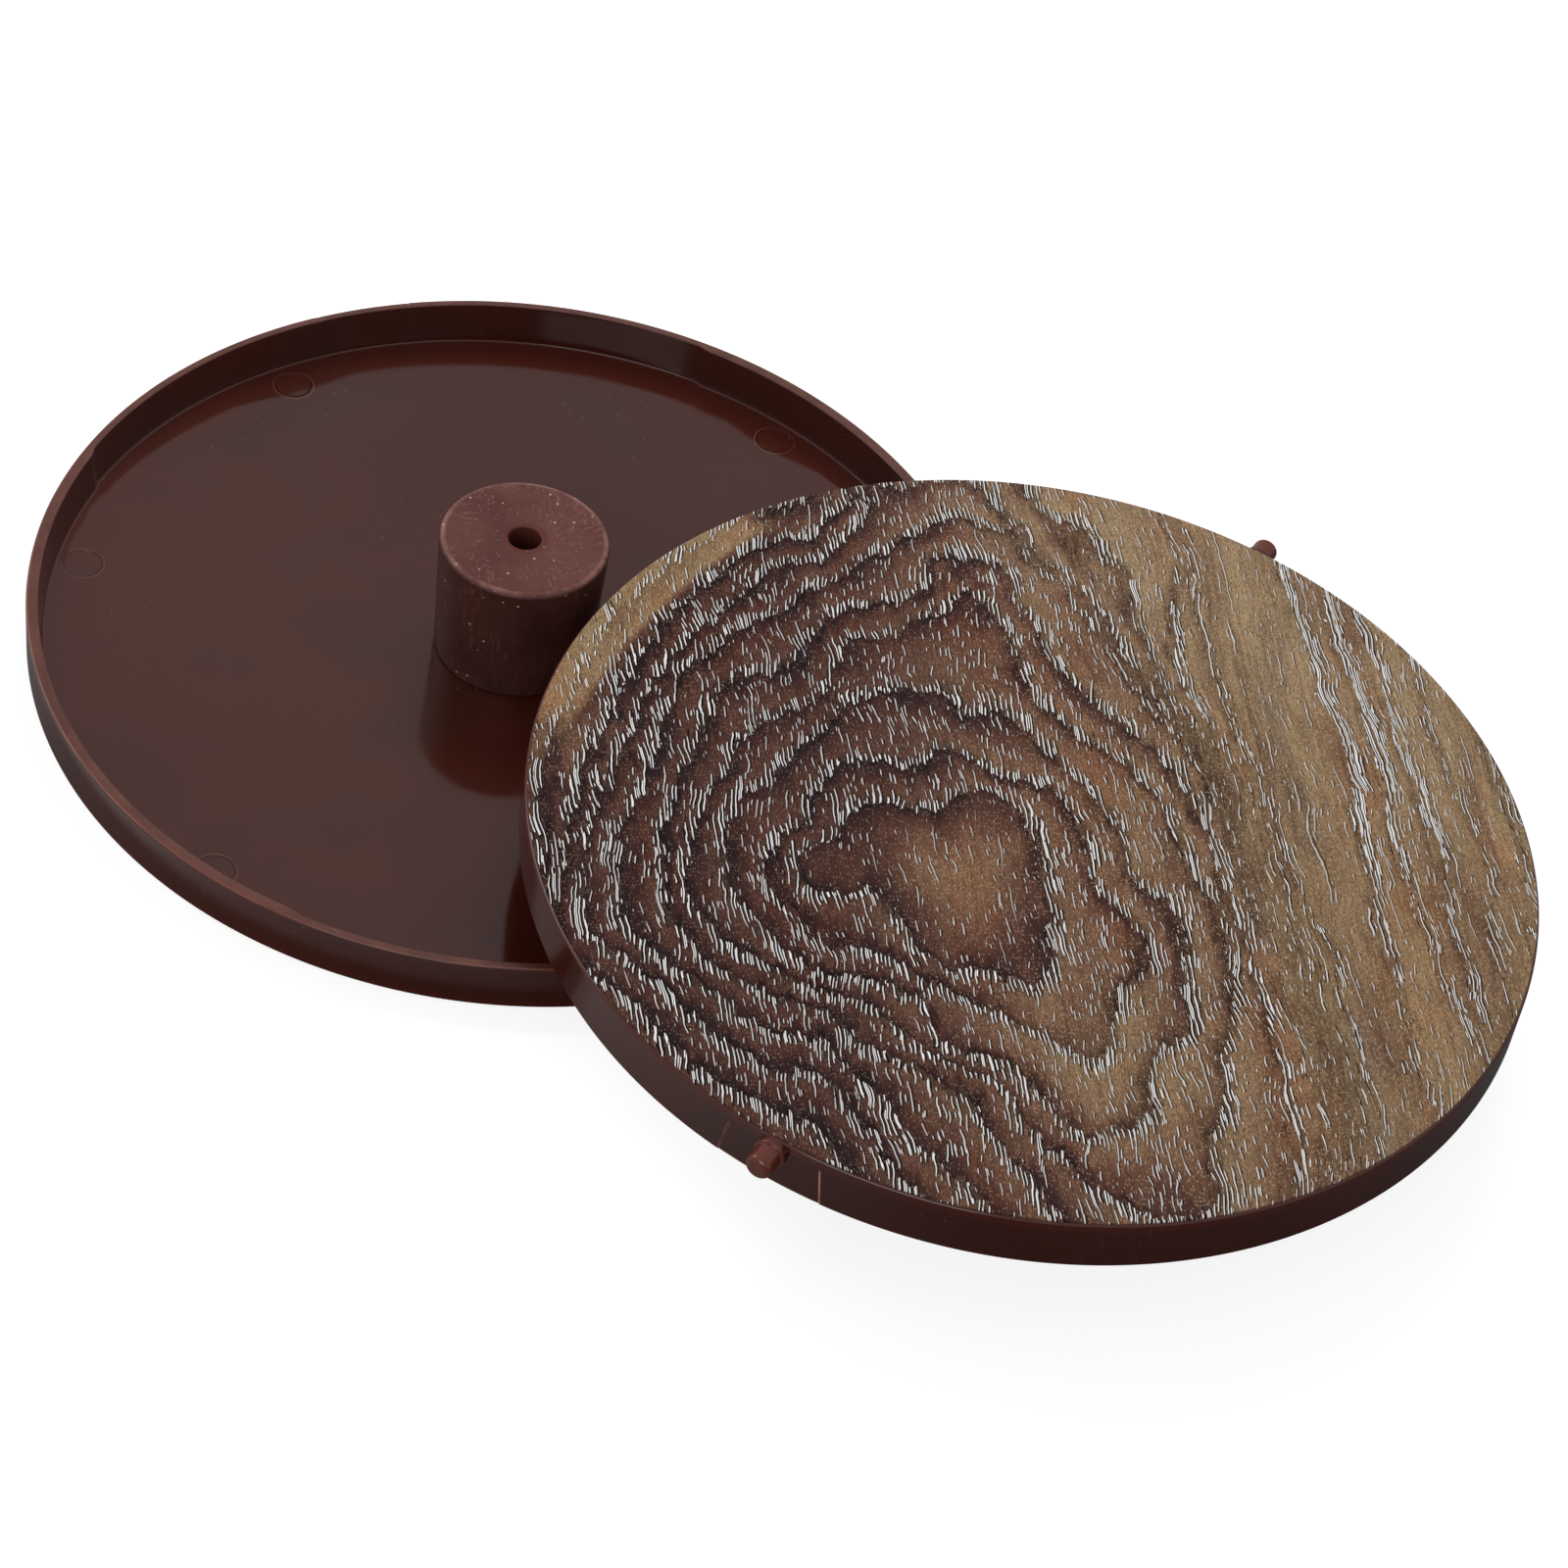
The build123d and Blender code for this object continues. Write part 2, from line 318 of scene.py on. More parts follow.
def floor_sheet(wall_corner):
    """Flat sheet between the wall's corner, the ejector marks and the screw post."""
    mark = circle(EJECT_R, 0, MARK_SEGMENTS)
    outlines = [[(x, y) for x, y, _ in wall_corner]]
    outlines += [[(x + cx, y + cy) for x, y, _ in mark] for cx, cy in MARKS]
    outlines.append([(x, y) for x, y, _ in circle(POST_R, 0, POST_SEGMENTS)])
    points, edges = [], []
    for outline in outlines:
        start, count = len(points), len(outline)
        points += outline
        edges += [(start + k, start + (k + 1) % count) for k in range(count)]
    # a few plain points inside keep the triangles from getting too thin
    for r in (20.0, 40.0, 60.0, 78.0):
        points += [(x, y) for x, y, _ in circle(r, 0, max(12, int(r * 0.6)))]
    flat, _, triangles, _, _, _ = geometry.delaunay_2d_cdt(
        [Vector(p) for p in points], edges, [], 0, 1e-6)
    centres = np.array([[sum(flat[i].x for i in t) / 3, sum(flat[i].y for i in t) / 3]
                        for t in triangles])
    kept = [t for t, keep in zip(triangles, inside_outlines(centres, outlines)) if keep]
    return [(p.x, p.y, FLOOR_Z) for p in flat], kept


def build_dish_shell():
    columns = dish_columns()
    rings = wall_rings(columns)
    verts, faces = stack(rings)
    # face disc under the film
    centre, count = len(verts), len(columns)
    verts.append((0, 0, -FILM_T))
    faces += [(centre, k, (k + 1) % count) for k in range(count)]
    add_part(verts, faces, floor_sheet(rings[-1]))
    # ejector marks: a fine groove round a slightly sunk disc; (radius, z)
    mark = revolve([
        (EJECT_R, FLOOR_Z), (EJECT_R - 0.02, FLOOR_Z - 0.03), (EJECT_R - 0.12, FLOOR_Z - 0.025),
        (EJECT_R - 0.17, FLOOR_Z + 0.03), (EJECT_R - 0.4, FLOOR_Z + 0.05),
        (EJECT_R - 0.7, FLOOR_Z + 0.055), (EJECT_R * 0.5, FLOOR_Z + 0.05), (0, FLOOR_Z + 0.045),
    ], MARK_SEGMENTS)
    for place in MARKS:
        add_part(verts, faces, mark, place)
    # screw post and pilot hole; (radius, z)
    add_part(verts, faces, revolve([
        (POST_R, FLOOR_Z), (POST_R, POST_END + 0.3), (POST_R - 0.3, POST_END),
        (PILOT_R + 0.2, POST_END), (PILOT_R, POST_END + 0.2), (PILOT_R, PILOT_END - 0.4),
        (0, PILOT_END),
    ], POST_SEGMENTS))
    return make_mesh("dish_shell", verts, faces, merge=2e-7)


def build_pin(side):
    """Collar and round-ended pin on the +X (side 1) or -X (side -1) end of the pivot axis."""
    collar_round, root_round, tip_round = 0.32, 0.16, 1.25
    root_turns = [math.radians(a) for a in (22, 45, 68, 90)]
    profile = [(0, 98.7), (COLLAR_R, 98.7), (COLLAR_R, COLLAR_END - collar_round)]
    profile += arc(COLLAR_R - collar_round, COLLAR_END - collar_round, collar_round, 0, 90, 6)[1:]
    profile += [(PIN_R + root_round, COLLAR_END)]
    profile += [(PIN_R + root_round - root_round * math.sin(a),
                 COLLAR_END + root_round - root_round * math.cos(a)) for a in root_turns]
    profile += [(PIN_R, COLLAR_END + 1.5), (PIN_R, PIN_END - tip_round)]
    profile += arc(PIN_R - tip_round, PIN_END - tip_round, tip_round, 0, 90, 10)[1:]
    profile += [(0.7, PIN_END), (0, PIN_END)]
    verts, faces = revolve(profile, 72)
    return make_mesh("pin_tool", [(side * h, x, y + PIN_Z) for x, y, h in verts], faces)


def build_dish():
    shell = add_object("dish_tmp", build_dish_shell())
    pins = [add_object("dish_tool", build_pin(side)) for side in (1, -1)]
    for pin in pins:
        union = shell.modifiers.new("union", "BOOLEAN")
        union.operation, union.solver, union.object = "UNION", "EXACT", pin
    depsgraph = bpy.context.evaluated_depsgraph_get()
    mesh = bpy.data.meshes.new_from_object(shell.evaluated_get(depsgraph))
    mesh.name = "dish"
    for used in (*pins, shell):
        bpy.data.objects.remove(used)
    shade(mesh, 30)
    return mesh


# ------------------------------------------------------------------ counterweight
def build_weight():
    """Turned block; its outer wall leans out towards the free end."""
    root_r, end_r, bore_r, post_bore_r, shank_r = 16.4, 17.5, 3.4, 4.65, 2.1
    start, end = FLOOR_Z, WEIGHT_END
    root_round, end_round, bore_round = 0.6, 1.1, 0.36
    lean = math.degrees(math.atan2(end_r - root_r, start - end))
    profile = [(post_bore_r, start), (root_r - root_round, start)]
    profile += arc(root_r - root_round, start - root_round, root_round, 90, 0, 5)[1:]
    profile += [(root_r + (end_r - root_r) * t, start + (end - start) * t)
                for t in (0.08, 0.2, 0.35, 0.5, 0.65, 0.8, 0.9, 0.955)]
    profile += arc(end_r - 1.12, end + end_round, end_round, -lean, -90, 9)
    profile += [(r, end) for r in (14.0, 10.0, 7.0, 5.0, bore_r + bore_round)]
    profile += arc(bore_r + bore_round, end + bore_round, bore_round, -90, -180, 5)[1:]
    profile += [
        (bore_r, -25.0), (bore_r, SCREW_SEAT_Z - 0.15), (bore_r - 0.15, SCREW_SEAT_Z),
        (shank_r, SCREW_SEAT_Z), (shank_r, -14.2), (post_bore_r, -14.2), (post_bore_r, -8.0),
        (post_bore_r, start),
    ]
    return make_mesh("counterweight", *revolve(profile, 192))


# ------------------------------------------------------------------ screw
def build_screw():
    """Pan head with a cross recess, helical thread and pointed tip towards +Z."""
    columns, seat = 128, SCREW_SEAT_Z
    head_height, head_r, dome_drop = 2.2, 3.15, 0.9
    head_top = seat - head_height
    slot_half, slot_reach, slot_depth = 0.38, 1.75, 1.25
    pitch, core_r, thread_depth, thread_step = 1.3, 1.25, 0.5, 0.08
    thread_start, thread_end, tip_z = seat + 1.3, -6.3, -5.0

    def dome(r):
        return head_top + dome_drop * (1 - math.sqrt(max(0.0, 1 - (r / head_r) ** 2.4)))

    def recess(x, y):
        past_x = max(abs(x) - slot_half, 0) if abs(y) < slot_reach else 9
        past_y = max(abs(y) - slot_half, 0) if abs(x) < slot_reach else 9
        depth = slot_depth * (1 - float(smoothstep(math.hypot(x, y), 1.1, 1.8)))
        return depth * (1 - float(smoothstep(min(past_x, past_y), 0.0, 0.16)))

    def thread_ring(z):
        ramp = (float(smoothstep(z, thread_start, thread_start + 1.0))
                * (1 - float(smoothstep(z, thread_end - 1.0, thread_end))))
        points = []
        for k in range(columns):
            angle = 2 * math.pi * k / columns
            turn = ((z - thread_start) / pitch - k / columns) % 1.0
            r = core_r + thread_depth * max(0.0, 1 - abs(turn - 0.5) / 0.24) * ramp
            points.append((r * math.cos(angle), r * math.sin(angle), z))
        return points

    rings = [[(0, 0, head_top + slot_depth)]]
    for r in [*np.linspace(0.12, 2.0, 22), 2.15, 2.35, 2.6]:
        rings.append([(x, y, z + recess(x, y)) for x, y, z in circle(r, dome(r), columns)])
    flank = [(r, dome(r)) for r in (2.85, 3.02, 3.11)]
    flank += [(head_r, head_top + dome_drop), (head_r, seat - 0.12), (3.05, seat), (1.55, seat),
              (1.55, seat + 1.0)]
    rings += [circle(r, z, columns) for r, z in flank]
    steps = int((thread_end - thread_start) / thread_step)
    rings += [thread_ring(thread_start + (thread_end - thread_start) * i / steps)
              for i in range(steps + 1)]
    rings += [circle(0.6, -5.5, columns), [(0, 0, tip_z)]]
    return make_mesh("screw", *stack(rings), sharp=40)


# ------------------------------------------------------------------ wood film
GRAIN_DEG = -50.0  # direction of the pores, in the standing lid's directions

# Growth rings of the printed grain, as contour lines: ring number, then (x, y) points in
# hundredths of the lid's radius, seen from above the face-up lid as it stands, x to the right
# and y away.
RINGS = {
    1: [(-12, 0), (-17, -11), (-28, -17), (-29, -24), (-29, -32), (-31, -38), (-25, -44),
        (-17, -38), (-8, -39), (0, -44), (7, -45), (12, -40), (20, -39), (22, -34), (18, -25),
        (14, -19), (8, -11), (1, -3), (-5, 0)],
    2: [(-24, 5), (-17, 6), (-11, 6), (-3, 9), (3, 6), (9, 2), (14, -3), (20, -9), (27, -11),
        (34, -15), (37, -21), (35, -27), (37, -34), (40, -40), (41, -44), (36, -47), (27, -47),
        (19, -47), (10, -49), (1, -49), (-8, -50), (-16, -54), (-21, -51), (-28, -50),
        (-34, -45), (-36, -38), (-35, -31), (-37, -23), (-38, -14), (-34, -7), (-26, -3),
        (-25, 1)],
    3: [(-26, 16), (-22, 21), (-17, 21), (-11, 18), (-3, 16), (3, 14), (9, 11), (16, 6), (20, 1),
        (25, -3), (32, -3), (37, -7), (41, -14), (45, -20), (50, -27), (49, -34), (49, -40),
        (52, -47), (54, -53), (51, -58), (47, -63), (43, -62), (38, -60), (31, -58), (26, -57),
        (22, -59), (18, -61), (13, -59), (9, -56), (3, -55), (-5, -57), (-12, -61), (-19, -60),
        (-25, -58), (-33, -55), (-40, -49), (-45, -42), (-48, -34), (-46, -28), (-46, -18),
        (-46, -8), (-46, 2), (-41, 12), (-34, 17), (-30, 18)],
    4: [(-43, 53), (-41, 47), (-38, 44), (-33, 43), (-25, 35), (-21, 32), (-16, 29), (-8, 26),
        (1, 25), (9, 23), (16, 20), (23, 15), (28, 10), (33, 6), (40, 2), (45, -4), (49, -10),
        (53, -16), (56, -23), (58, -29), (62, -36), (65, -42), (67, -49), (71, -56), (74, -62),
        (72, -68)],
    4.01: [(-44, 47), (-45, 41), (-47, 35), (-49, 28), (-52, 22), (-56, 18), (-54, 13), (-52, 6),
           (-51, 0), (-55, -8), (-57, -16), (-56, -23), (-54, -31), (-51, -40), (-49, -48),
           (-44, -57), (-38, -63), (-26, -66), (-10, -65), (10, -63), (26, -62), (40, -68),
           (54, -72), (66, -72)],
    5: [(-51, 57), (-48, 54), (-43, 52), (-37, 51), (-30, 48), (-25, 45), (-19, 40), (-11, 37),
        (-3, 35), (4, 33), (12, 31), (19, 26), (25, 21), (30, 17), (35, 11), (39, 7), (44, 2),
        (50, -4), (56, -11), (61, -17), (67, -24), (73, -31), (77, -37), (82, -45), (86, -52)],
    5.01: [(-53, 54), (-55, 50), (-54, 47), (-52, 44), (-53, 38), (-56, 32), (-60, 27),
           (-62, 22), (-62, 17), (-61, 10), (-61, 4), (-64, -2), (-68, -10), (-65, -18),
           (-61, -29), (-60, -36), (-56, -46), (-51, -54), (-48, -60), (-44, -64), (-38, -68),
           (-32, -71), (-26, -72), (-18, -71), (-8, -70), (-2, -68), (3, -71), (9, -70),
           (16, -69), (24, -69), (30, -71), (35, -74), (40, -77), (46, -78), (51, -82),
           (56, -83)],
    5.5: [(-54, 61), (-46, 61), (-41, 60), (-34, 57), (-27, 53), (-20, 48.5), (-12, 43.5),
          (-4, 40.2), (4, 37), (12, 34.5), (19, 30.5), (26, 24.5), (32, 18.5), (38, 12.2),
          (44, 6), (52, -3), (59, -10.5), (66, -19), (74, -28), (82, -38)],
    5.8: [(-56, 64), (-50, 65.5), (-43, 64), (-36, 61.5), (-29, 59.2), (-21, 55)],
    8.4: [(-48, 84.5), (-42, 85), (-36, 86), (-31, 83), (-26, 80), (-20, 76), (-15, 70.5),
          (-38, 90), (-32, 91)],
    6: [(-60, 64), (-55, 66), (-48, 69), (-43, 67), (-37, 64), (-30, 62), (-22, 58), (-15, 53),
        (-9, 49), (-2, 45), (5, 41), (12, 38), (20, 34), (27, 27), (32, 22), (38, 16), (43, 10),
        (49, 4), (56, -2), (62, -10), (68, -17), (75, -24), (81, -32), (86, -40)],
    6.01: [(-61, 59), (-62, 54), (-64, 46), (-67, 39), (-66, 34), (-69, 28), (-70, 21),
           (-71, 15), (-74, 8), (-75, 2), (-75, -6), (-76, -12), (-72, -22), (-69, -30),
           (-65, -40), (-62, -48), (-61, -54), (-57, -61), (-52, -67), (-47, -73), (-41, -76),
           (-34, -77), (-24, -78), (-16, -79), (-10, -79), (-5, -76), (-1, -75), (5, -77),
           (10, -78), (16, -80), (22, -84), (27, -85), (33, -86), (40, -88)],
    7: [(-72, 64), (-66, 74), (-58, 76), (-51, 72), (-49, 69.5), (-43, 68), (-37, 66),
        (-30, 63.8), (-22, 60), (-15, 55.5), (-9, 51.5), (-2, 47.5), (5, 43.2), (12, 39.8),
        (20, 36), (27, 29), (34, 22), (41, 14.5), (49, 6), (62, -8), (75, -22), (86, -37)],
    7.01: [(-78, 58), (-73, 52), (-72, 46), (-72, 38), (-75, 32), (-78, 26), (-80, 19),
           (-80, 10), (-80, 2), (-80, -6), (-79, -14), (-77, -24), (-74, -34), (-71, -42),
           (-69, -50), (-66, -58), (-62, -66), (-56, -74), (-50, -81), (-43, -81), (-34, -82),
           (-26, -85), (-18, -86), (-11, -87), (-4, -86), (0, -83), (6, -82), (12, -86),
           (18, -88), (25, -92), (31, -94)],
    8: [(-79, 56), (-78, 44), (-78, 38), (-82, 36), (-84, 31), (-86, 21), (-87, 10), (-87, 0),
        (-86, -8), (-84, -18), (-80, -29), (-77, -40), (-74, -50), (-70, -58), (-64, -68)],
    8.0001: [(-53, 84), (-48, 81), (-45, 79), (-42, 78.3), (-39, 80), (-36, 80), (-33, 78),
             (-30, 76), (-28, 73.5), (-25, 74.4), (-22, 73.5), (-19, 70), (-16, 66),
             (-12, 61.5), (-7, 56), (-1, 51), (5, 46.3), (12, 42.5), (20, 38.5), (28, 31),
             (35, 24), (43, 15.5), (51, 7), (64, -7), (77, -21), (88, -36)],
    9.0001: [(-26, 95.5), (-23, 93), (-19.5, 88.5), (-16, 84), (-13, 79), (-10.5, 74.5),
             (-8, 70), (-5.5, 65), (-2.5, 60), (2, 55), (8, 49.5), (14, 45.2), (21, 40.8),
             (29, 33.5), (37, 25.5), (45, 17), (53, 8.5), (66, -5), (79, -19), (90, -34)],
    10: [(-21, 95), (-16, 88.5), (-10, 80), (-4.5, 72.6), (2, 65.5), (8, 58.5), (15, 51),
         (22, 44.5), (30, 36.5), (38, 28.5), (46, 20), (55, 11), (68, -3), (81, -17),
         (92, -31)],
    10.5: [(-8, 95), (6, 84), (15, 74), (28, 60), (36, 50), (46, 38), (56, 23), (69, 5),
           (80, -11), (91, -24)],
    11: [(1, 98), (13, 84.5), (29, 67), (46, 49), (57, 33), (62, 25), (67, 17), (73, 12),
         (78, 4), (85, -4), (92, -12), (98, -18)],
    12: [(12, 98), (26, 82), (41, 65), (53, 47), (62, 37), (72, 26), (80, 18), (90, 8), (97, 2)],
    13: [(21, 95), (29, 87), (37, 78), (45, 67), (55, 58), (63, 49), (70, 40), (78, 28),
         (87, 17), (95, 9)],
    14: [(36, 92), (47, 78), (53, 71), (61, 62), (69, 55), (75, 49), (84, 33), (92, 21),
         (98, 14)],
    15: [(54, 84), (62, 76), (72, 65), (82, 51), (90, 40)],
    9.0: [(-94, 22), (-95, 8), (-95, -8), (-91, -24), (-86, -40), (-80, -54)],
}
RING_CENTRE, RING_CENTRE_VALUE = (-0.05, -0.22), 0.35  # in lid radii

# Soft zones where the print is darker or paler: centre x, y, half widths x, y, amount.
# Same directions and units as the contour lines.
ZONES = [
    (-47, -6, 30, 40, -0.20), (-6, -24, 12, 12, 0.30), (44, -44, 20, 16, 0.28),
    (-84, -46, 12, 18, 0.55), (-34, 76, 26, 14, 0.14), (-10, 10, 20, 14, 0.08),
]


def plate_kernel(a, b):
    squared = ((a[:, None] - b[None]) ** 2).sum(-1)
    return 0.5 * squared * np.log(np.maximum(squared, 1e-12))


def grain_field(x, y):
    """Ring number at points of the face, by a thin-plate fit through the contour lines."""
    knots = [(px / 100.0, py / 100.0) for line in RINGS.values() for px, py in line]
    values = [number for number, line in RINGS.items() for _ in line]
    knots = np.array(knots + [RING_CENTRE])
    values = np.array(values + [RING_CENTRE_VALUE])
    n = len(knots)
    system = np.zeros((n + 3, n + 3))
    system[:n, :n] = plate_kernel(knots, knots)
    system[:n, :n] += np.eye(n) * 2e-4  # lets the fit pass slightly off the points
    system[:n, n] = system[n, :n] = 1
    system[:n, n + 1:] = knots
    system[n + 1:, :n] = knots.T
    weights = np.linalg.solve(system, np.concatenate([values, np.zeros(3)]))
    field = np.zeros(len(x))
    chunk = 4000  # keeps the distance tables small
    for start in range(0, len(x), chunk):
        part = slice(start, start + chunk)
        spots = np.stack([x[part], y[part]], 1)
        field[part] = (plate_kernel(spots, knots) @ weights[:n] + weights[n]
                       + spots @ weights[n + 1:])
    return field


def tone_field(x, y):
    """Tone of the print: 0 deep purple-brown, 0.5 reddish brown, 1 tan, lighter across the grain."""
    grain = math.radians(GRAIN_DEG)
    tone = 0.50 + 0.60 * (-math.sin(grain) * x + math.cos(grain) * y)
    for cx, cy, half_x, half_y, amount in ZONES:
        spread = -((100.0 * x - cx) / half_x) ** 2 - ((100.0 * y - cy) / half_y) ** 2
        tone = tone + amount * np.exp(spread)
    return np.clip(tone, 0.04, 0.97)


def build_film():
    edge_round = 0.16
    profile = [(0, 0)] + [(r, 0.0) for r in [*np.linspace(0.9, 98.6, 109), 98.95]]
    profile += arc(FILM_R - edge_round, -edge_round, edge_round, 90, 0, 4)
    profile += [(FILM_R, -FILM_T), (0, -FILM_T)]
    mesh = make_mesh("wood_film", *revolve(profile, 480), sharp=35)
    # the grain is drawn in the standing lid's directions, so turn the points that way
    spots = coordinates(mesh) / (LID_R * MM)
    cos, sin = math.cos(STAND_ANGLE), math.sin(STAND_ANGLE)
    u = spots[:, 0] * cos - spots[:, 1] * sin
    v = spots[:, 0] * sin + spots[:, 1] * cos
    ring = grain_field(u, v)
    probe = 0.004
    slope = np.hypot((grain_field(u + probe, v) - ring) / probe,
                     (grain_field(u, v + probe) - ring) / probe)
    point_attribute(mesh, "ring", ring)
    point_attribute(mesh, "ring_slope", np.clip(slope, 3.0, 60.0))
    point_attribute(mesh, "tone", tone_field(u, v))
    point_attribute(mesh, "grain_uv", np.stack([u, v, np.zeros_like(u)], 1), vector=True)
    return mesh


# ------------------------------------------------------------------ node helpers
def operator(operation, swapped=False):
    def apply(self, other):
        pair = (other, self) if swapped else (self, other)
        return self.shader.math(operation, *pair)
    return apply


class Signal:
    """A node output that takes part in arithmetic; each operation adds a Math node."""

    def __init__(self, shader, socket):
        self.shader, self.socket = shader, socket

    __add__, __radd__ = operator("ADD"), operator("ADD", swapped=True)
    __sub__, __rsub__ = operator("SUBTRACT"), operator("SUBTRACT", swapped=True)
    __mul__, __truediv__ = operator("MULTIPLY"), operator("DIVIDE")
    __lt__, __gt__ = operator("LESS_THAN"), operator("GREATER_THAN")

    def __abs__(self):
        return self.shader.math("ABSOLUTE", self)

    def sibling(self, output):
        """Another output of the same node."""
        return Signal(self.shader, self.socket.node.outputs[output])


class Shader:
    """Builds a node tree; inputs may be Signals or plain values."""

    def __init__(self, tree):
        self.tree = tree
        tree.nodes.clear()

    def put(self, socket, value):
        if isinstance(value, Signal):
            self.tree.links.new(value.socket, socket)
            return
        if isinstance(value, tuple) and len(value) < len(socket.default_value):
            value = (*value, 1)
        socket.default_value = value

    def node(self, kind, inputs, **settings):
        node = self.tree.nodes.new("ShaderNode" + kind)
        for name, value in settings.items():
            setattr(node, name, value)
        for key, value in inputs.items():
            self.put(node.inputs[key], value)
        return node

    def add(self, kind, inputs={}, output=0, **settings):
        return Signal(self, self.node(kind, inputs, **settings).outputs[output])

    def math(self, operation, *values):
        return self.add("Math", dict(enumerate(values)), operation=operation)

    def maximum(self, a, b):
        return self.math("MAXIMUM", a, b)

    def vector(self, operation, *values):
        output = "Value" if operation in ("LENGTH", "DOT_PRODUCT") else 0
        return self.add("VectorMath", dict(enumerate(values)), output, operation=operation)

    def attribute(self, name, output="Fac"):
        return self.add("Attribute", output=output, attribute_name=name)

    def split(self, vector):
        x = self.add("SeparateXYZ", {0: vector})
        return x, x.sibling(1), x.sibling(2)

    def join(self, x, y, z=0.0):
        return self.add("CombineXYZ", {0: x, 1: y, 2: z})

    def noise(self, vector, scale, detail=2.0, rough=0.5, output="Fac"):
        inputs = {"Vector": vector, "Scale": scale, "Detail": detail, "Roughness": rough}
        return self.add("TexNoise", inputs, output)

    def voronoi(self, vector, scale, dimensions="3D"):
        inputs = {"Vector": vector, "Scale": scale}
        return self.add("TexVoronoi", inputs, "Distance", voronoi_dimensions=dimensions)

    def ramp(self, factor, stops):
        """Colour ramp through (position, colour or grey) stops."""
        node = self.node("ValToRGB", {0: factor})
        elements = node.color_ramp.elements
        while len(elements) < len(stops):
            elements.new(0.5)
        for element, (position, colour) in zip(elements, stops):
            element.position = position
            grey = not isinstance(colour, tuple)
            element.color = (colour, colour, colour, 1) if grey else (*colour, 1)
        return Signal(self, node.outputs[0])

    def mix(self, factor, a, b, mode="MIX"):
        inputs = {"Factor": factor, 6: a, 7: b}
        return self.add("Mix", inputs, 2, data_type="RGBA", blend_type=mode)

    def multiply(self, a, b):
        return self.mix(1.0, a, b, mode="MULTIPLY")

    def remap(self, value, span, to=(0.0, 1.0), linear=False):
        """Carry `span` to `to`, eased unless linear, and held at both ends."""
        inputs = {"Value": value, "From Min": span[0], "From Max": span[1],
                  "To Min": to[0], "To Max": to[1]}
        kind = "LINEAR" if linear else "SMOOTHSTEP"
        return self.add("MapRange", inputs, interpolation_type=kind)

    def line(self, value, at, span):
        """1 where value is within span[0] of `at`, fading to 0 at span[1]."""
        return self.remap(abs(value - at), span=span, to=(1.0, 0.0))

    def bump(self, height, strength, distance, **normal):
        inputs = {"Strength": strength, "Distance": distance, "Height": height, **normal}
        return self.add("Bump", inputs)


class Surface(Shader):
    """A material with one Principled surface."""

    def __init__(self, name):
        self.material = bpy.data.materials.new(name)
        self.material.use_nodes = True
        super().__init__(self.material.node_tree)
        self.lit = self.add("BsdfPrincipled")
        self.output = self.node("OutputMaterial", {0: self.lit})

    def set(self, **values):
        for name, value in values.items():
            self.put(self.lit.socket.node.inputs[name.replace("_", " ")], value)

    def lid_coordinates(self):
        """Point in the lid's own frame, its x, y, z in metres, radius in mm, and angle."""
        point = self.attribute("lid_co", "Vector")
        x, y, z = self.split(point)
        radius = self.vector("LENGTH", self.join(x, y)) * 1000.0
        return point, x, y, z, radius, self.math("ARCTAN2", y, x)


def rgb(*channels):
    """sRGB 0-255 to linear."""
    scaled = [c / 255.0 for c in channels]
    return tuple(c / 12.92 if c <= 0.04045 else ((c + 0.055) / 1.055) ** 2.4 for c in scaled)


# ------------------------------------------------------------------ wood print
# Colours across one ring, going outwards: (position, colour), for each tone of the print
DEEP_BAND = [(0.00, rgb(82, 60, 55)), (0.15, rgb(92, 66, 58)), (0.40, rgb(86, 58, 51)),
             (0.62, rgb(70, 46, 43)), (0.80, rgb(54, 38, 40)), (1.0, rgb(46, 35, 39))]
MID_BAND = [(0.00, rgb(112, 88, 74)), (0.15, rgb(128, 101, 80)), (0.40, rgb(122, 91, 74)),
            (0.62, rgb(102, 72, 60)), (0.80, rgb(80, 55, 50)), (1.0, rgb(63, 46, 46))]
TAN_BAND = [(0.00, rgb(136, 113, 88)), (0.20, rgb(154, 131, 101)), (0.56, rgb(148, 122, 94)),
            (0.78, rgb(126, 99, 77)), (1.0, rgb(102, 77, 63))]
CALM_STREAKS = [(0.28, rgb(100, 75, 62)), (0.40, rgb(124, 98, 78)), (0.50, rgb(142, 117, 90)),
                (0.62, rgb(156, 132, 101)), (0.74, rgb(134, 109, 86))]


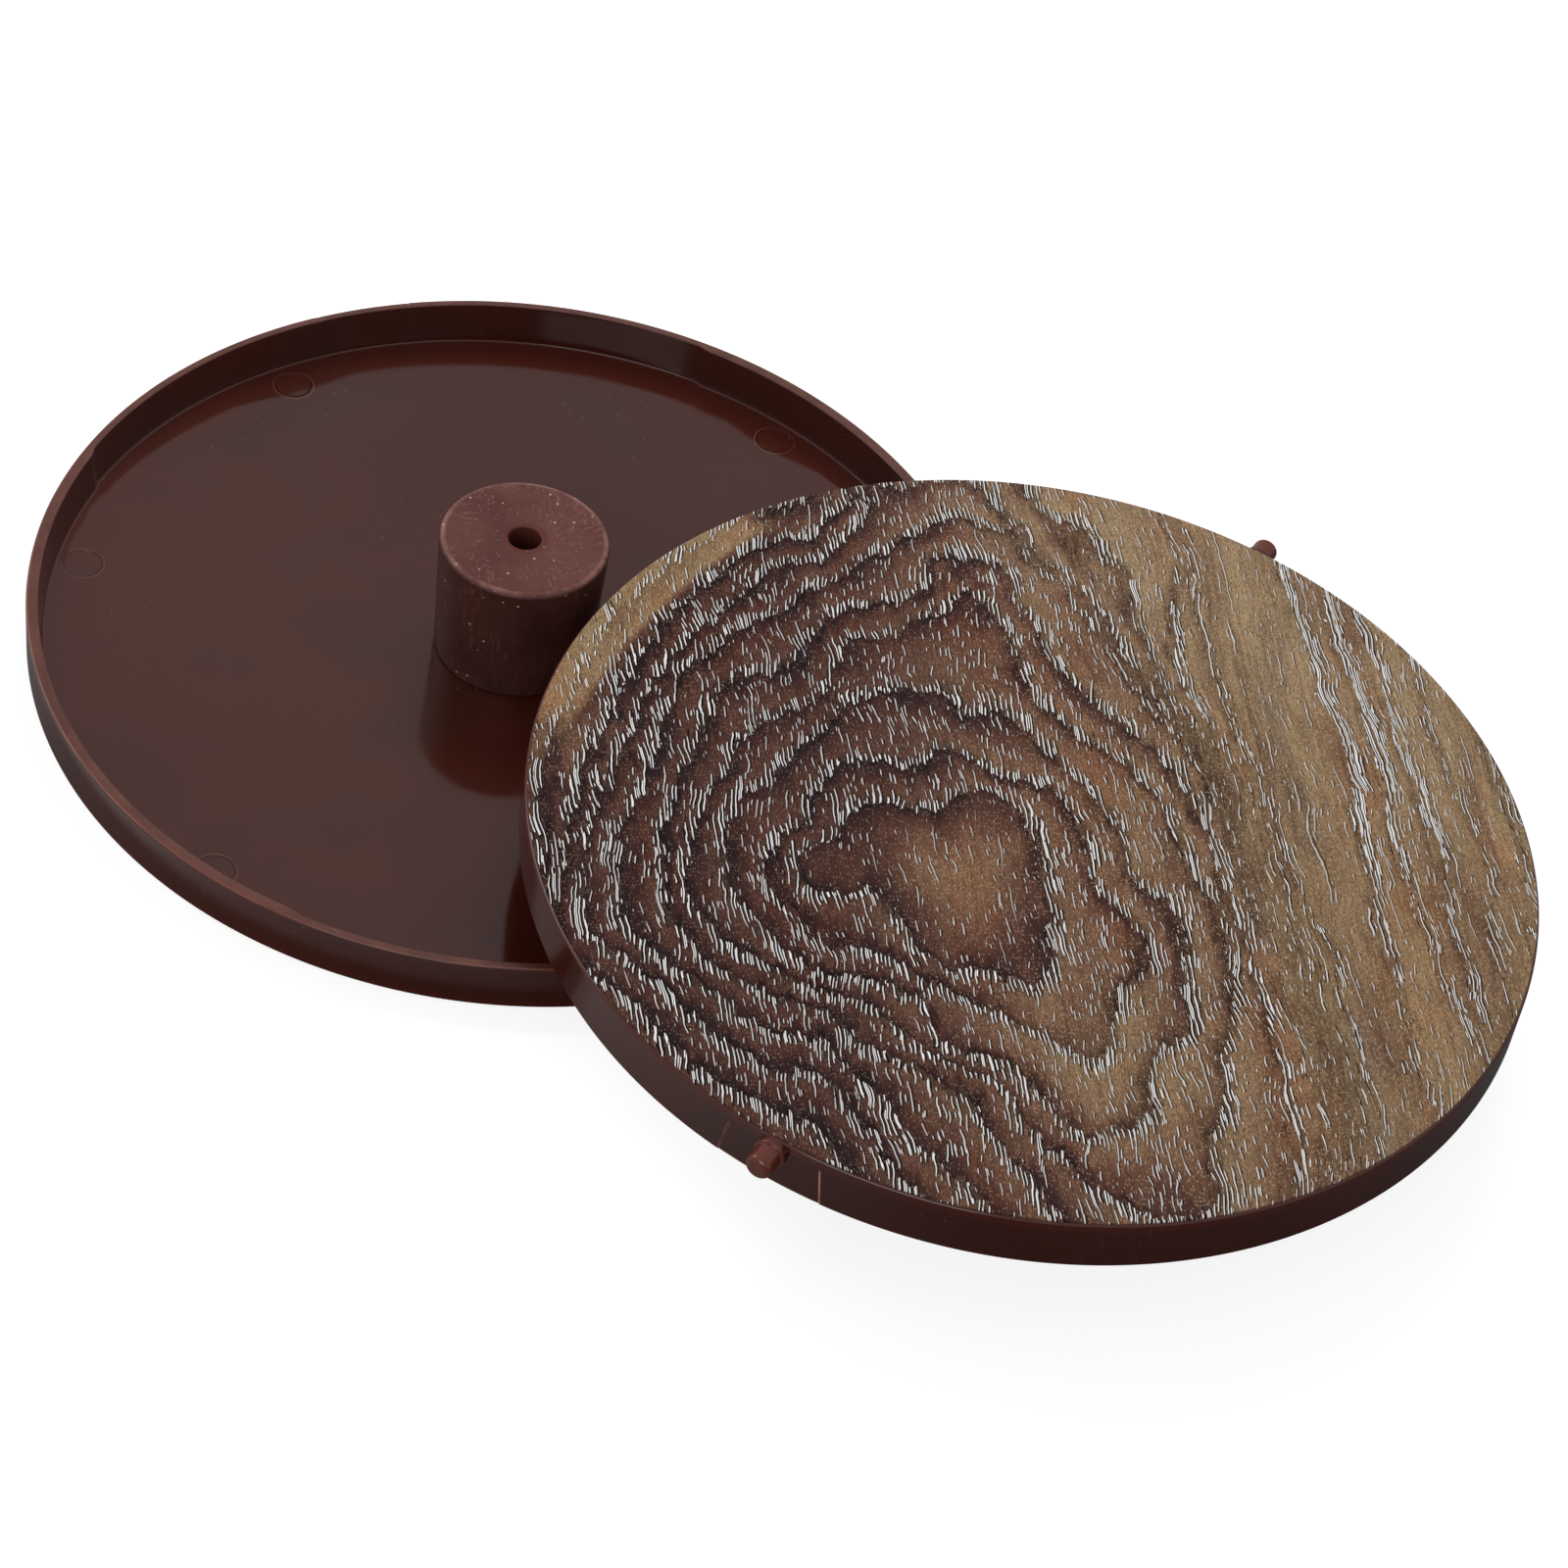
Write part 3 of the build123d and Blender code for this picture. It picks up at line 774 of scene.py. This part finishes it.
class WoodFilm(Surface):
    """Ring bands, a calmer streaky side, and rows of open pores along the grain."""

    def __init__(self):
        super().__init__("wood_grain_film")
        self.place_grain()
        self.place_rings()
        self.place_tone()
        colour = self.band_colour()
        colour = self.mix(self.calm * 0.74, colour, self.calm_colour())
        colour = self.mix(self.streak * 0.42, colour, rgb(150, 128, 98))
        colour = self.ring_lines(colour)
        colour, fibre = self.fibres(colour)
        colour, white, dark = self.pores(colour)
        height = white * 0.6 - dark + fibre * 0.25
        self.set(
            Base_Color=colour,
            Roughness=self.remap(self.patch, span=(0.3, 0.7), to=(0.42, 0.54), linear=True),
            Normal=self.bump(height, strength=0.35, distance=0.00012),
            Specular_IOR_Level=0.05,
        )

    def grain_noise(self, along, across, detail=2.0, rough=0.5, seed=0.0):
        """Noise with so many features per lid radius along and across the grain."""
        point = self.join(self.along * along, self.across * across, seed)
        return self.noise(point, scale=1.0, detail=detail, rough=rough)

    def place_grain(self):
        """Coordinates along and across the grain in lid radii, and the calm side's extent."""
        uv = self.uv = self.attribute("grain_uv", "Vector")
        wobble = self.noise(uv, scale=2.6, output="Color")
        centred = self.vector("SUBTRACT", wobble, (0.5, 0.5, 0.5))
        warp = self.add("VectorMath", {0: centred, "Scale": 0.09}, operation="SCALE")
        warped = self.vector("ADD", uv, warp)
        cos, sin = math.cos(math.radians(GRAIN_DEG)), math.sin(math.radians(GRAIN_DEG))
        self.along = self.vector("DOT_PRODUCT", warped, (cos, sin, 0))
        self.across = self.vector("DOT_PRODUCT", warped, (-sin, cos, 0))
        self.straight_along = self.vector("DOT_PRODUCT", uv, (cos, sin, 0))
        straight_across = self.vector("DOT_PRODUCT", uv, (-sin, cos, 0))
        self.side = straight_across + (self.noise(uv, scale=3.0) - 0.5) * 0.12
        self.calm = self.remap(self.side, span=(0.33, 0.45))

    def place_rings(self):
        """Phase within a ring, with lines broken into fingers along the grain."""
        slope = self.attribute("ring_slope")
        finger = self.grain_noise(along=9.0, across=34.0, rough=0.6) - 0.5
        fine_finger = self.grain_noise(along=26.0, across=120.0, detail=1.0) - 0.5
        broad = self.noise(self.uv, scale=8.0, detail=3.0, rough=0.55) - 0.5
        shift = finger * 0.060 + fine_finger * 0.030 + broad * 0.030
        self.ring = self.attribute("ring") + shift * slope
        self.phase = self.math("FRACT", self.ring)
        self.mm_past = self.phase * 100.0 / slope  # mm outside the last ring line
        self.mm_before = (1.0 - self.phase) * 100.0 / slope  # mm to the next one

    def place_tone(self):
        """Tone, patchiness, and a curved pale streak near the -x edge of the print."""
        self.patch = self.grain_noise(along=2.4, across=8.0, detail=3.0, rough=0.6)
        oval = self.vector("MULTIPLY", self.uv, (1.0, 0.9, 1.0))
        reach = self.vector("LENGTH", self.vector("SUBTRACT", oval, (0.30, 0.03, 0.0)))
        streak = self.remap(reach, span=(1.185, 1.215))
        for axis, span in ((1, (0.42, 0.30)), (1, (-0.50, -0.28)), (0, (-0.70, -0.80))):
            streak = streak * self.remap(self.split(self.uv)[axis], span=span)
        self.streak = streak
        darker = self.remap(self.split(self.uv)[1], span=(0.30, 0.90), to=(0.14, 0.03),
                            linear=True)
        tone = self.attribute("tone") * 1.10 - darker + (self.patch - 0.5) * 0.5
        self.tone = self.maximum(tone, streak * 1.05)

    def band_colour(self):
        # the dark side of a ring line comes and goes along it
        fade = self.grain_noise(along=5.0, across=9.0, rough=0.55, seed=6.2)
        phase = self.phase * self.remap(fade, span=(0.36, 0.60), to=(0.70, 1.0))
        deep, middle, tan = (self.ramp(phase, band) for band in (DEEP_BAND, MID_BAND, TAN_BAND))
        colour = self.mix(self.remap(self.tone, span=(0.05, 0.48), linear=True), deep, middle)
        return self.mix(self.remap(self.tone, span=(0.45, 0.86), linear=True), colour, tan)

    def calm_colour(self):
        """Straight tan and brown streaks along the grain, with a few grey smudges."""
        streaks = self.grain_noise(along=1.5, across=15.0, detail=4.0, rough=0.62, seed=5.7)
        smudge = self.grain_noise(along=2.2, across=6.0, detail=3.0, rough=0.6, seed=1.9)
        smudge = (self.remap(smudge, span=(0.52, 0.70))
                  * self.remap(self.side, span=(0.66, 0.56), to=(0.0, 0.55)))
        colour = self.mix(smudge, self.ramp(streaks, CALM_STREAKS), rgb(112, 101, 90))
        hair = self.grain_noise(along=3.5, across=70.0, detail=3.0, rough=0.65, seed=8.8)
        return self.multiply(colour, self.ramp(hair, [(0.30, 0.78), (0.5, 1.0), (0.70, 1.14)]))

    def ring_lines(self, colour):
        # the last millimetres before a ring line sink to near black
        sink = (self.remap(self.mm_before, span=(2.1, 0.0))
                * self.remap(self.tone, span=(0.2, 1.0), to=(0.74, 0.42), linear=True))
        sink = sink * self.remap(self.noise(self.uv, scale=15.0), span=(0.40, 0.60),
                                 to=(0.18, 1.0))
        sink = sink * self.remap(self.calm, span=(0.0, 1.0), to=(1.0, 0.62))
        colour = self.mix(sink * (1.0 - self.streak), colour, rgb(24, 17, 20))
        # the pore row just outside the line lies on a darker ground
        ground = (self.remap(self.mm_past, span=(1.2, 3.0), to=(1.0, 0.0))
                  * self.remap(self.calm, span=(0.0, 1.0), to=(0.42, 0.22)))
        return self.mix(ground * (1.0 - self.streak), colour, rgb(36, 27, 30))

    def tinted(self, amount, colour, tint):
        return self.mix(amount, colour, self.multiply(colour, tint))

    def fibres(self, colour):
        """Reddish and greyish drift, thin dark lines and fine fibres."""
        drift = self.grain_noise(along=2.6, across=7.0, detail=3.0, rough=0.55, seed=3.3)
        reddish = self.remap(drift, span=(0.50, 0.72), to=(0.0, 0.60))
        colour = self.tinted(reddish, colour, tint=(1.06, 0.82, 0.74))
        greyish = self.remap(drift, span=(0.46, 0.28), to=(0.0, 0.40))
        colour = self.tinted(greyish, colour, tint=(0.92, 0.94, 0.96))
        lines = self.grain_noise(along=5.0, across=95.0, rough=0.6, seed=4.4)
        lines = (self.remap(lines, span=(0.53, 0.66), to=(0.0, 0.45))
                 * self.remap(self.tone, span=(0.15, 0.6), to=(0.35, 1.0)))
        colour = self.tinted(lines, colour, tint=(0.50, 0.44, 0.42))
        fibre = self.grain_noise(along=16.0, across=330.0, rough=0.6)
        shades = self.ramp(fibre, [(0.25, 0.66), (0.5, 0.98), (0.75, 1.34)])
        colour = self.multiply(colour, shades)
        fine = self.grain_noise(along=120.0, across=600.0, detail=1.0)
        colour = self.multiply(colour, self.ramp(fine, [(0.3, 0.62), (0.7, 1.42)]))
        low_y = self.remap(self.split(self.uv)[1], span=(0.35, 0.75), to=(1.0, 0.0))
        return self.tinted(low_y, colour, tint=(0.91, 0.87, 0.83)), fibre

    def density(self, extra, row, after):
        """How full a column of pores is: full just outside a ring line, thinner after it, none
        in the dark run-up to the next."""
        past = self.mm_past + extra
        past = past + (past < 0.0) * 60.0
        full = self.remap(past, span=(row, row + 1.3), to=(1.0, after))
        full = full * self.remap(self.mm_before - extra, span=(0.6, 2.6))
        return full * (1.0 - self.island * 0.45)

    def pore_layer(self, pitch, length, width, seed, row, after, gain, jag=1.6):
        """Columns of ticks along the grain; pitch, length, row and jag in mm, width as a share
        of the pitch. after is the density behind the row."""
        place = self.pore_across * (100.0 / pitch) + seed * 13.7
        column = self.math("FLOOR", place)
        offset = self.math("FRACT", place) - 0.5
        random = self.add("TexWhiteNoise", {"W": column + seed * 3.1}, "Color",
                          noise_dimensions="1D")
        sway, shade_by, start = self.split(random)
        offset = offset + (sway - 0.5) * 0.30
        full = self.density((shade_by - 0.35) * jag, row, after) * gain
        tick_point = self.join(self.along * (100.0 / length) + start * 91.0, column * 7.31)
        tick = self.noise(tick_point, scale=1.0, detail=0.0)
        threshold = 0.75 - full * 0.47
        on = self.remap(tick - threshold, span=(-0.01, 0.05)) * (full > 0.03)
        half = on * width
        # a white tick with a broad shadow on one side and a narrow one on the other
        white = self.remap(abs(offset) - half, span=(-0.05, 0.02), to=(1.0, 0.0))
        broad = abs(offset - width * 2.2) - half * 1.5
        narrow = abs(offset + width * 1.4) - half * 0.7
        dark = self.maximum(self.remap(broad, span=(-0.05, 0.03), to=(1.0, 0.0)),
                            self.remap(narrow, span=(-0.05, 0.03), to=(0.8, 0.0)))
        soft = (on > 0.03) * self.remap(full, span=(0.15, 0.65), to=(0.58, 1.0), linear=True)
        return white * soft, dark * soft, shade_by

    def pores(self, colour):
        wander = (self.grain_noise(along=14.0, across=14.0, seed=9.1) - 0.5) * 0.020
        self.pore_across = self.across + wander
        self.island = self.ring < 1.0  # inside the innermost ring
        uneven = self.remap(self.noise(self.uv, scale=11.0, rough=0.6), span=(0.34, 0.58),
                            to=(0.45, 1.0))
        # a band across the calm side that is full of pores
        band = (self.remap(self.side, span=(0.60, 0.66))
                * self.remap(self.side, span=(0.90, 0.84)))
        band = band * self.remap(self.straight_along + (self.patch - 0.5) * 0.5,
                                 span=(0.30, 0.02))
        lively = (uneven * (1.0 - self.streak * 0.15)
                  * self.remap(self.calm, span=(0.0, 1.0), to=(1.0, 0.50)))
        white1, dark1, shade_by = self.pore_layer(
            pitch=0.92, length=3.1, width=0.130, seed=0.0, row=1.9, after=0.40,
            gain=self.maximum(lively, band * 0.95))
        white2, dark2, _ = self.pore_layer(
            pitch=1.37, length=4.4, width=0.095, seed=3.7, row=1.5, after=0.50,
            gain=self.maximum(lively * 0.75, band * 0.85))
        white3, dark3, _ = self.pore_layer(
            pitch=1.30, length=15.0, width=0.085, seed=7.9, row=1.2, after=0.24,
            gain=self.maximum(self.calm * 0.95, self.island * 0.9), jag=1.0)
        white = self.maximum(white1, self.maximum(white2, white3))
        dark = self.maximum(dark1, self.maximum(dark2, dark3))
        # closed pores: fine speckle everywhere, cells 0.9 mm along by 0.42 mm across
        cell = self.voronoi(self.join(self.along * (100.0 / 0.9), self.across * (100.0 / 0.42)),
                            scale=1.0, dimensions="2D")
        chance, kind, _ = self.split(cell.sibling("Color"))
        speck = self.remap(cell, span=(0.16, 0.32), to=(1.0, 0.0)) * (chance < 0.60)
        is_dark = kind > 0.5
        pale = (1.0 - is_dark) * self.remap(self.tone, span=(0.1, 0.6), to=(0.22, 0.45))
        colour = self.mix(speck * (is_dark * 0.55), colour, rgb(30, 21, 19))
        colour = self.mix(speck * pale, colour, rgb(206, 182, 152))
        shadow = dark * self.remap(self.tone, span=(0.1, 0.9), to=(0.95, 0.86), linear=True)
        colour = self.mix(shadow, colour, rgb(10, 7, 8))
        light = white * self.remap(shade_by, span=(0.0, 1.0), to=(0.80, 1.0))
        return self.mix(light, colour, rgb(248, 246, 244)), white, dark


# ------------------------------------------------------------------ plastic and metal
def panel_edge_highlight(mat, mm_x, mm_y, mm_z, radius):
    """Painted highlight along the sunk panels' edges: fine pale lines, stronger on their +Y side."""
    half = PANEL_TOP + (PANEL_TOP_Z - mm_z) * PANEL_SLOPE
    outer = (radius > 99.2) * (abs(mm_x) > 90.0) * (radius < 100.3)
    side = mat.line(abs(mm_y), at=half, span=(0.16, 0.34))
    side = side * mat.remap(mm_z, span=(-2.4, -3.4))
    side = side * mat.remap(mm_y, span=(-1.0, 1.0), to=(0.22, 1.0))
    head = mat.line(mm_z, at=PANEL_TOP_Z, span=(0.06, 0.20))
    head = head * ((abs(mm_y) < 8.2) * mat.remap(mm_y, span=(-2.0, 3.0), to=(0.12, 0.50)))
    return mat.maximum(side, head) * outer


def mark_distance(mat, x, y):
    """Distance in mm to the nearest ejector mark's centre."""
    nearest = None
    for mark_x, mark_y in MARKS:
        centre = (mark_x / 1000, mark_y / 1000, 0.0)
        distance = mat.vector("LENGTH", mat.vector("SUBTRACT", mat.join(x, y), centre))
        nearest = distance if nearest is None else mat.math("MINIMUM", nearest, distance)
    return nearest * 1000.0


def dish_material():
    mat = Surface("moulded_brown_plastic")
    point, x, y, z, radius, angle = mat.lid_coordinates()
    mm_x, mm_y, mm_z = (c * 1000.0 for c in (x, y, z))
    big = mat.noise(point, scale=9.0)
    cloud = mat.noise(point, scale=17.0, detail=3.0, rough=0.6)
    medium = mat.noise(point, scale=60.0, detail=3.0, rough=0.55)
    fine = mat.noise(point, scale=900.0, rough=0.6)

    base = mat.mix(mat.remap(big, span=(0.35, 0.65)), rgb(60, 22, 14), rgb(70, 28, 19))
    base = mat.mix(mat.remap(cloud, span=(0.48, 0.68), to=(0.0, 0.50)), base, rgb(48, 28, 21))
    base = mat.mix(mat.remap(medium, span=(0.45, 0.75), to=(0.0, 0.30)), base, rgb(56, 22, 15))

    # rim land: paler in patches, with a painted highlight as a finer pale line along its outer
    # rounded edge
    rim = mat.remap(z, span=(-0.01120, -0.01152))
    rim_pale_patches = mat.remap(mat.noise(point, scale=140.0, detail=3.0), span=(0.3, 0.7),
                       to=(0.30, 0.62))
    base = mat.mix(rim * rim_pale_patches, base, rgb(112, 64, 52))
    rim_edge_highlight = (mat.line(radius, at=99.72, span=(0.06, 0.22))
            * mat.remap(z, span=(-0.0110, -0.0114)))
    highlight_breakup = mat.remap(mat.noise(point, scale=90.0), span=(0.35, 0.6), to=(0.15, 0.7))
    base = mat.mix(rim_edge_highlight * highlight_breakup, base, rgb(136, 74, 56))

    # painted highlight: pale lines along the sunk panels' edges, broken up by noise
    broken = mat.remap(mat.noise(point, scale=300.0), span=(0.3, 0.6), to=(0.55, 1.0))
    panel_highlight = panel_edge_highlight(mat, mm_x, mm_y, mm_z, radius)
    base = mat.mix(panel_highlight * broken, base, rgb(196, 140, 122))

    # the thin pins look more orange
    base = mat.mix(mat.remap(radius, span=(100.4, 101.0)) * 0.75, base, rgb(104, 46, 30))

    # fine scratches across the outer wall; the arcs change only the gloss
    scratch = mat.noise(mat.join(angle * 260.0, radius * 0.2, mm_z * 0.25), scale=1.0,
                        detail=3.0, rough=0.65)
    scuff = (mat.remap(scratch, span=(0.58, 0.72))
             * mat.remap(mat.noise(point, scale=24.0), span=(0.48, 0.66)))
    scuff = scuff * (radius > 99.0)
    base = mat.mix(scuff * 0.35, base, rgb(118, 84, 76))
    arcs = mat.noise(mat.vector("MULTIPLY", point, (1500.0, 45.0, 300.0)), scale=1.0, rough=0.6)
    arcs = (mat.remap(arcs, span=(0.68, 0.76))
            * mat.remap(mat.noise(point, scale=19.0), span=(0.56, 0.70)))

    dust = (mat.remap(mat.voronoi(point, scale=420.0), span=(0.035, 0.075), to=(1.0, 0.0))
            * mat.remap(mat.noise(point, scale=35.0), span=(0.50, 0.66), to=(0.0, 0.6)))
    base = mat.mix(dust, base, rgb(160, 128, 118))

    # ejector marks: painted shade as a fine dark line in the groove, with a painted highlight as a
    # paler lip outside it
    near = mark_distance(mat, x, y)
    inside = (radius < 96.5) * (z < -0.0015)
    part = mat.remap(mat.noise(point, scale=130.0), span=(0.35, 0.55), to=(0.35, 1.0))
    groove_shade = mat.line(near, at=EJECT_R, span=(0.10, 0.30)) * (inside * part)
    lip_highlight = mat.line(near, at=EJECT_R + 0.42, span=(0.08, 0.22)) * (inside * part)
    base = mat.mix(groove_shade * 0.75, base, rgb(18, 7, 5))
    base = mat.mix(lip_highlight * 0.40, base, rgb(140, 82, 64))

    # painted glow: warmer colour at the outer part of the thin floor, standing in for light coming
    # through it
    painted_glow = mat.remap(radius, span=(84.0, 97.0), to=(0.0, 0.30)) * (z > -0.00215)
    base = mat.mix(painted_glow, base, rgb(92, 30, 17))

    rough = 0.075 + mat.remap(medium, span=(0.3, 0.7)) * 0.05
    rough = rough + mat.maximum(scuff, arcs * 0.6) * 0.16 + rim * 0.20
    waves = big * 1.0 + mat.noise(point, scale=28.0, detail=1.0) * 0.30
    normal = mat.bump(waves, strength=0.34, distance=0.0006)
    normal = mat.bump(fine + scuff * -1.5, strength=0.06, distance=0.00005, Normal=normal)
    mat.set(Base_Color=base, Roughness=rough, Normal=normal, Specular_IOR_Level=0.57)
    return mat.material


def weight_material():
    mat = Surface("chalky_filled_plastic")
    point, _, _, z, radius, angle = mat.lid_coordinates()

    def spots(scale, span, channel, above):
        cell = mat.voronoi(point, scale=scale)
        chosen = mat.split(cell.sibling("Color"))[channel] > above
        return mat.remap(cell, span=span, to=(1.0, 0.0)) * chosen

    big = mat.noise(point, scale=60.0, detail=3.0, rough=0.6)
    fine = mat.noise(point, scale=1500.0, rough=0.6)
    end = mat.remap(z, span=(-0.0304, -0.0313))
    # painted light and shade: the end face is painted lighter, as if lit, and the flank darker, as
    # if shaded
    flank = mat.mix(mat.remap(big, span=(0.3, 0.7)), rgb(62, 33, 28), rgb(76, 42, 36))
    face = mat.mix(mat.remap(big, span=(0.35, 0.65)), rgb(84, 45, 40), rgb(98, 57, 51))
    base = mat.mix(end, flank, face)

    # rub marks: fans of fine strokes on the end, along the flank elsewhere
    fan = mat.noise(mat.join(angle * 16.0 + radius * 0.55, radius * 0.35, z * 260.0), scale=1.0,
                    detail=4.0, rough=0.7)
    where = mat.remap(mat.noise(point, scale=75.0), span=(0.42, 0.60), to=(0.08, 1.0))
    rub = mat.remap(fan, span=(0.49, 0.70)) * where
    rub = rub * mat.remap(end, span=(0.0, 1.0), to=(0.26, 0.50))
    base = mat.mix(rub, base, rgb(138, 98, 93))
    # painted highlight: a pale ring on the rounded edge of the end face, broken up by noise
    ring = mat.line(radius, at=16.7, span=(0.15, 0.75)) * end
    highlight_breakup = mat.remap(mat.noise(point, scale=160.0, detail=3.0, rough=0.6), span=(0.40, 0.62),
                     to=(0.10, 0.60))
    base = mat.mix(ring * highlight_breakup, base, rgb(150, 108, 98))

    speck = spots(scale=1100.0, span=(0.10, 0.26), channel=0, above=0.70)
    speck = speck * (0.35 + end * 0.65)
    base = mat.mix(speck * 0.45, base, rgb(176, 138, 130))
    chip = spots(scale=330.0, span=(0.05, 0.11), channel=2, above=0.45)
    base = mat.mix(chip * 0.8, base, rgb(206, 176, 166))
    pit = spots(scale=700.0, span=(0.10, 0.24), channel=1, above=0.75)
    base = mat.mix(pit * 0.5, base, rgb(36, 17, 15))
    bore = mat.remap(radius, span=(4.9, 4.5))
    base = mat.mix(bore * 0.7, base, rgb(86, 38, 30))

    height = fine + mat.noise(point, scale=500.0) * 0.9 - pit * 0.8
    height = height + mat.noise(point, scale=130.0) * 1.4
    mat.set(
        Base_Color=base,
        Roughness=mat.remap(big, span=(0.3, 0.7), to=(0.34, 0.46), linear=True),
        Normal=mat.bump(height, strength=0.45, distance=0.00012),
        Specular_IOR_Level=0.26,
    )
    return mat.material


def screw_material():
    mat = Surface("zinc_screw")
    point = mat.attribute("lid_co", "Vector")
    mottle = mat.noise(point, scale=700.0, detail=3.0, rough=0.6)
    base = mat.mix(mat.remap(mottle, span=(0.35, 0.65)), rgb(150, 148, 142), rgb(176, 174, 168))
    stain = mat.remap(mat.noise(point, scale=260.0), span=(0.55, 0.75), to=(0.0, 0.5))
    base = mat.mix(stain, base, rgb(98, 92, 84))
    turned = mat.noise(mat.vector("MULTIPLY", point, (400.0, 400.0, 4000.0)), scale=1.0)
    mat.set(
        Base_Color=base,
        Metallic=1.0,
        Roughness=mat.remap(mottle, span=(0.3, 0.7), to=(0.26, 0.44), linear=True),
        Normal=mat.bump(turned, strength=0.15, distance=0.00003),
    )
    return mat.material


# ------------------------------------------------------------------ build the lids
def place_piece(name, mesh, matrix, body, piece):
    """A copy of the mesh, set in its place, keeping each point's own-frame place in lid_co."""
    mesh = mesh.copy()
    mesh.name = name
    point_attribute(mesh, "lid_co", coordinates(mesh), vector=True)
    mesh.transform(matrix)
    mesh.update()
    placed = add_object(name, mesh)
    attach(placed, body)
    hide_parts(f"{body}_{piece}")


# mesh, name of the object, name of the piece it replaces
PIECES = (
    (build_dish(), "moulded_dish", "dish"),
    (build_film(), "grain_film", "wood_film"),
    (build_weight(), "cast_weight", "counterweight"),
    (build_screw(), "pan_screw", "screw"),
)
MATERIALS = (dish_material(), WoodFilm().material, weight_material(), screw_material())
for (piece_mesh, _, _), material in zip(PIECES, MATERIALS):
    piece_mesh.materials.clear()
    piece_mesh.materials.append(material)

for lid, lid_matrix in (("upper_lid", UPPER), ("lower_lid", LOWER)):
    for piece_mesh, label, piece_name in PIECES:
        place_piece(f"{lid}_{label}", piece_mesh, lid_matrix, lid, piece_name)


# ------------------------------------------------------------------ stage, metres
def floor_material():
    mat = Surface("pale_floor")
    point = mat.add("TexCoord", output="Object")
    mottle = mat.remap(mat.noise(point, scale=3.0), span=(0.3, 0.7))
    colour = mat.mix(mottle, (0.27, 0.27, 0.27), (0.29, 0.29, 0.29))
    seen = mat.add("LightPath", output="Is Camera Ray")
    # painted shade: the light it bounces varies with x, darker to the right as a painted shadow of
    # the lids, and drops within a lid's radius of the lower lid's centre as painted contact shade
    x, y, _ = mat.split(point)
    side = mat.remap(x, span=(0.10, 0.19), to=(1.35, 0.40))
    near = (mat.remap(mat.vector("LENGTH", mat.join(x, y)), span=(0.1035, 0.1065), to=(0.35, 1.0))
            * mat.remap(x, span=(-0.04, 0.02), to=(1.7, 1.0)))
    tone = mat.maximum(seen, side * near)
    mat.set(
        Base_Color=mat.multiply(colour, mat.join(tone, tone, tone)),
        Roughness=0.9,
        Specular_IOR_Level=0.1,
        Emission_Color=(1, 1, 1),
        Emission_Strength=seen * 0.84,
    )
    # clear from below, so the undersides can be looked at
    from_below = mat.add("NewGeometry", output="Backfacing") * seen
    clear = mat.add("BsdfTransparent")
    surface = mat.add("MixShader", {0: from_below, 1: mat.lit, 2: clear})
    mat.put(mat.output.inputs["Surface"], surface)
    return mat.material


def add_floor():
    half, z = 4.0, -0.0002
    corners = [(-half, -half, z), (half, -half, z), (half, half, z), (-half, half, z)]
    mesh = bpy.data.meshes.new("floor")
    mesh.from_pydata(corners, [], [(0, 1, 2, 3)])
    floor = add_object("floor", mesh)
    mesh.materials.append(floor_material())


def add_world():
    """Nearly white sky, a little darker towards the horizon."""
    world = bpy.data.worlds.new("studio")
    bpy.context.scene.world = world
    world.use_nodes = True
    sky = Shader(world.node_tree)
    height = sky.split(sky.add("TexCoord", output="Generated"))[2]
    colour = sky.ramp(height, [(0.0, (0.85, 0.85, 0.86)), (0.9, (1.0, 1.0, 1.0))])
    sky.node("OutputWorld", {0: sky.add("Background", {0: colour, 1: 0.54})})


def add_area(name, location, size, power):
    """Square lamp turned to a point between the lids."""
    lamp = bpy.data.lights.new(name, "AREA")
    lamp.shape = "RECTANGLE"
    lamp.size = lamp.size_y = size
    lamp.energy = power
    placed = add_object(name, lamp)
    placed.location = location
    direction = Vector((0.05, 0, 0)) - Vector(location)
    placed.rotation_euler = direction.to_track_quat("-Z", "Y").to_euler()
    return placed


def add_camera():
    camera = bpy.data.cameras.new("camera")
    camera.lens, camera.sensor_width = 95.55, 36.0
    camera.clip_start = 0.01
    placed = add_object("camera", camera)
    right = Vector((0.8305759, 0.54115677, 0.13150295))
    up = Vector((-0.46615837, 0.54638071, 0.69581929))
    forward = Vector((-0.30469664, 0.63923194, -0.70607541))
    matrix = Matrix((right, up, -forward)).transposed().to_4x4()
    matrix.translation = (0.325461859, -0.540652092, 0.601933897)
    placed.matrix_world = matrix
    bpy.context.scene.camera = placed


add_floor()
add_world()
back = add_area("back", location=(-0.34, 0.86, 1.12), size=0.55, power=8.5)
back.visible_glossy = False  # it lights and throws shadows, but leaves no patch in the gloss
add_area("left", location=(-1.30, -0.10, 0.95), size=0.9, power=4.5)
add_area("fill", location=(0.35, -1.25, 0.70), size=0.8, power=4.0)
add_camera()
bpy.context.scene.view_settings.view_transform = "Standard"
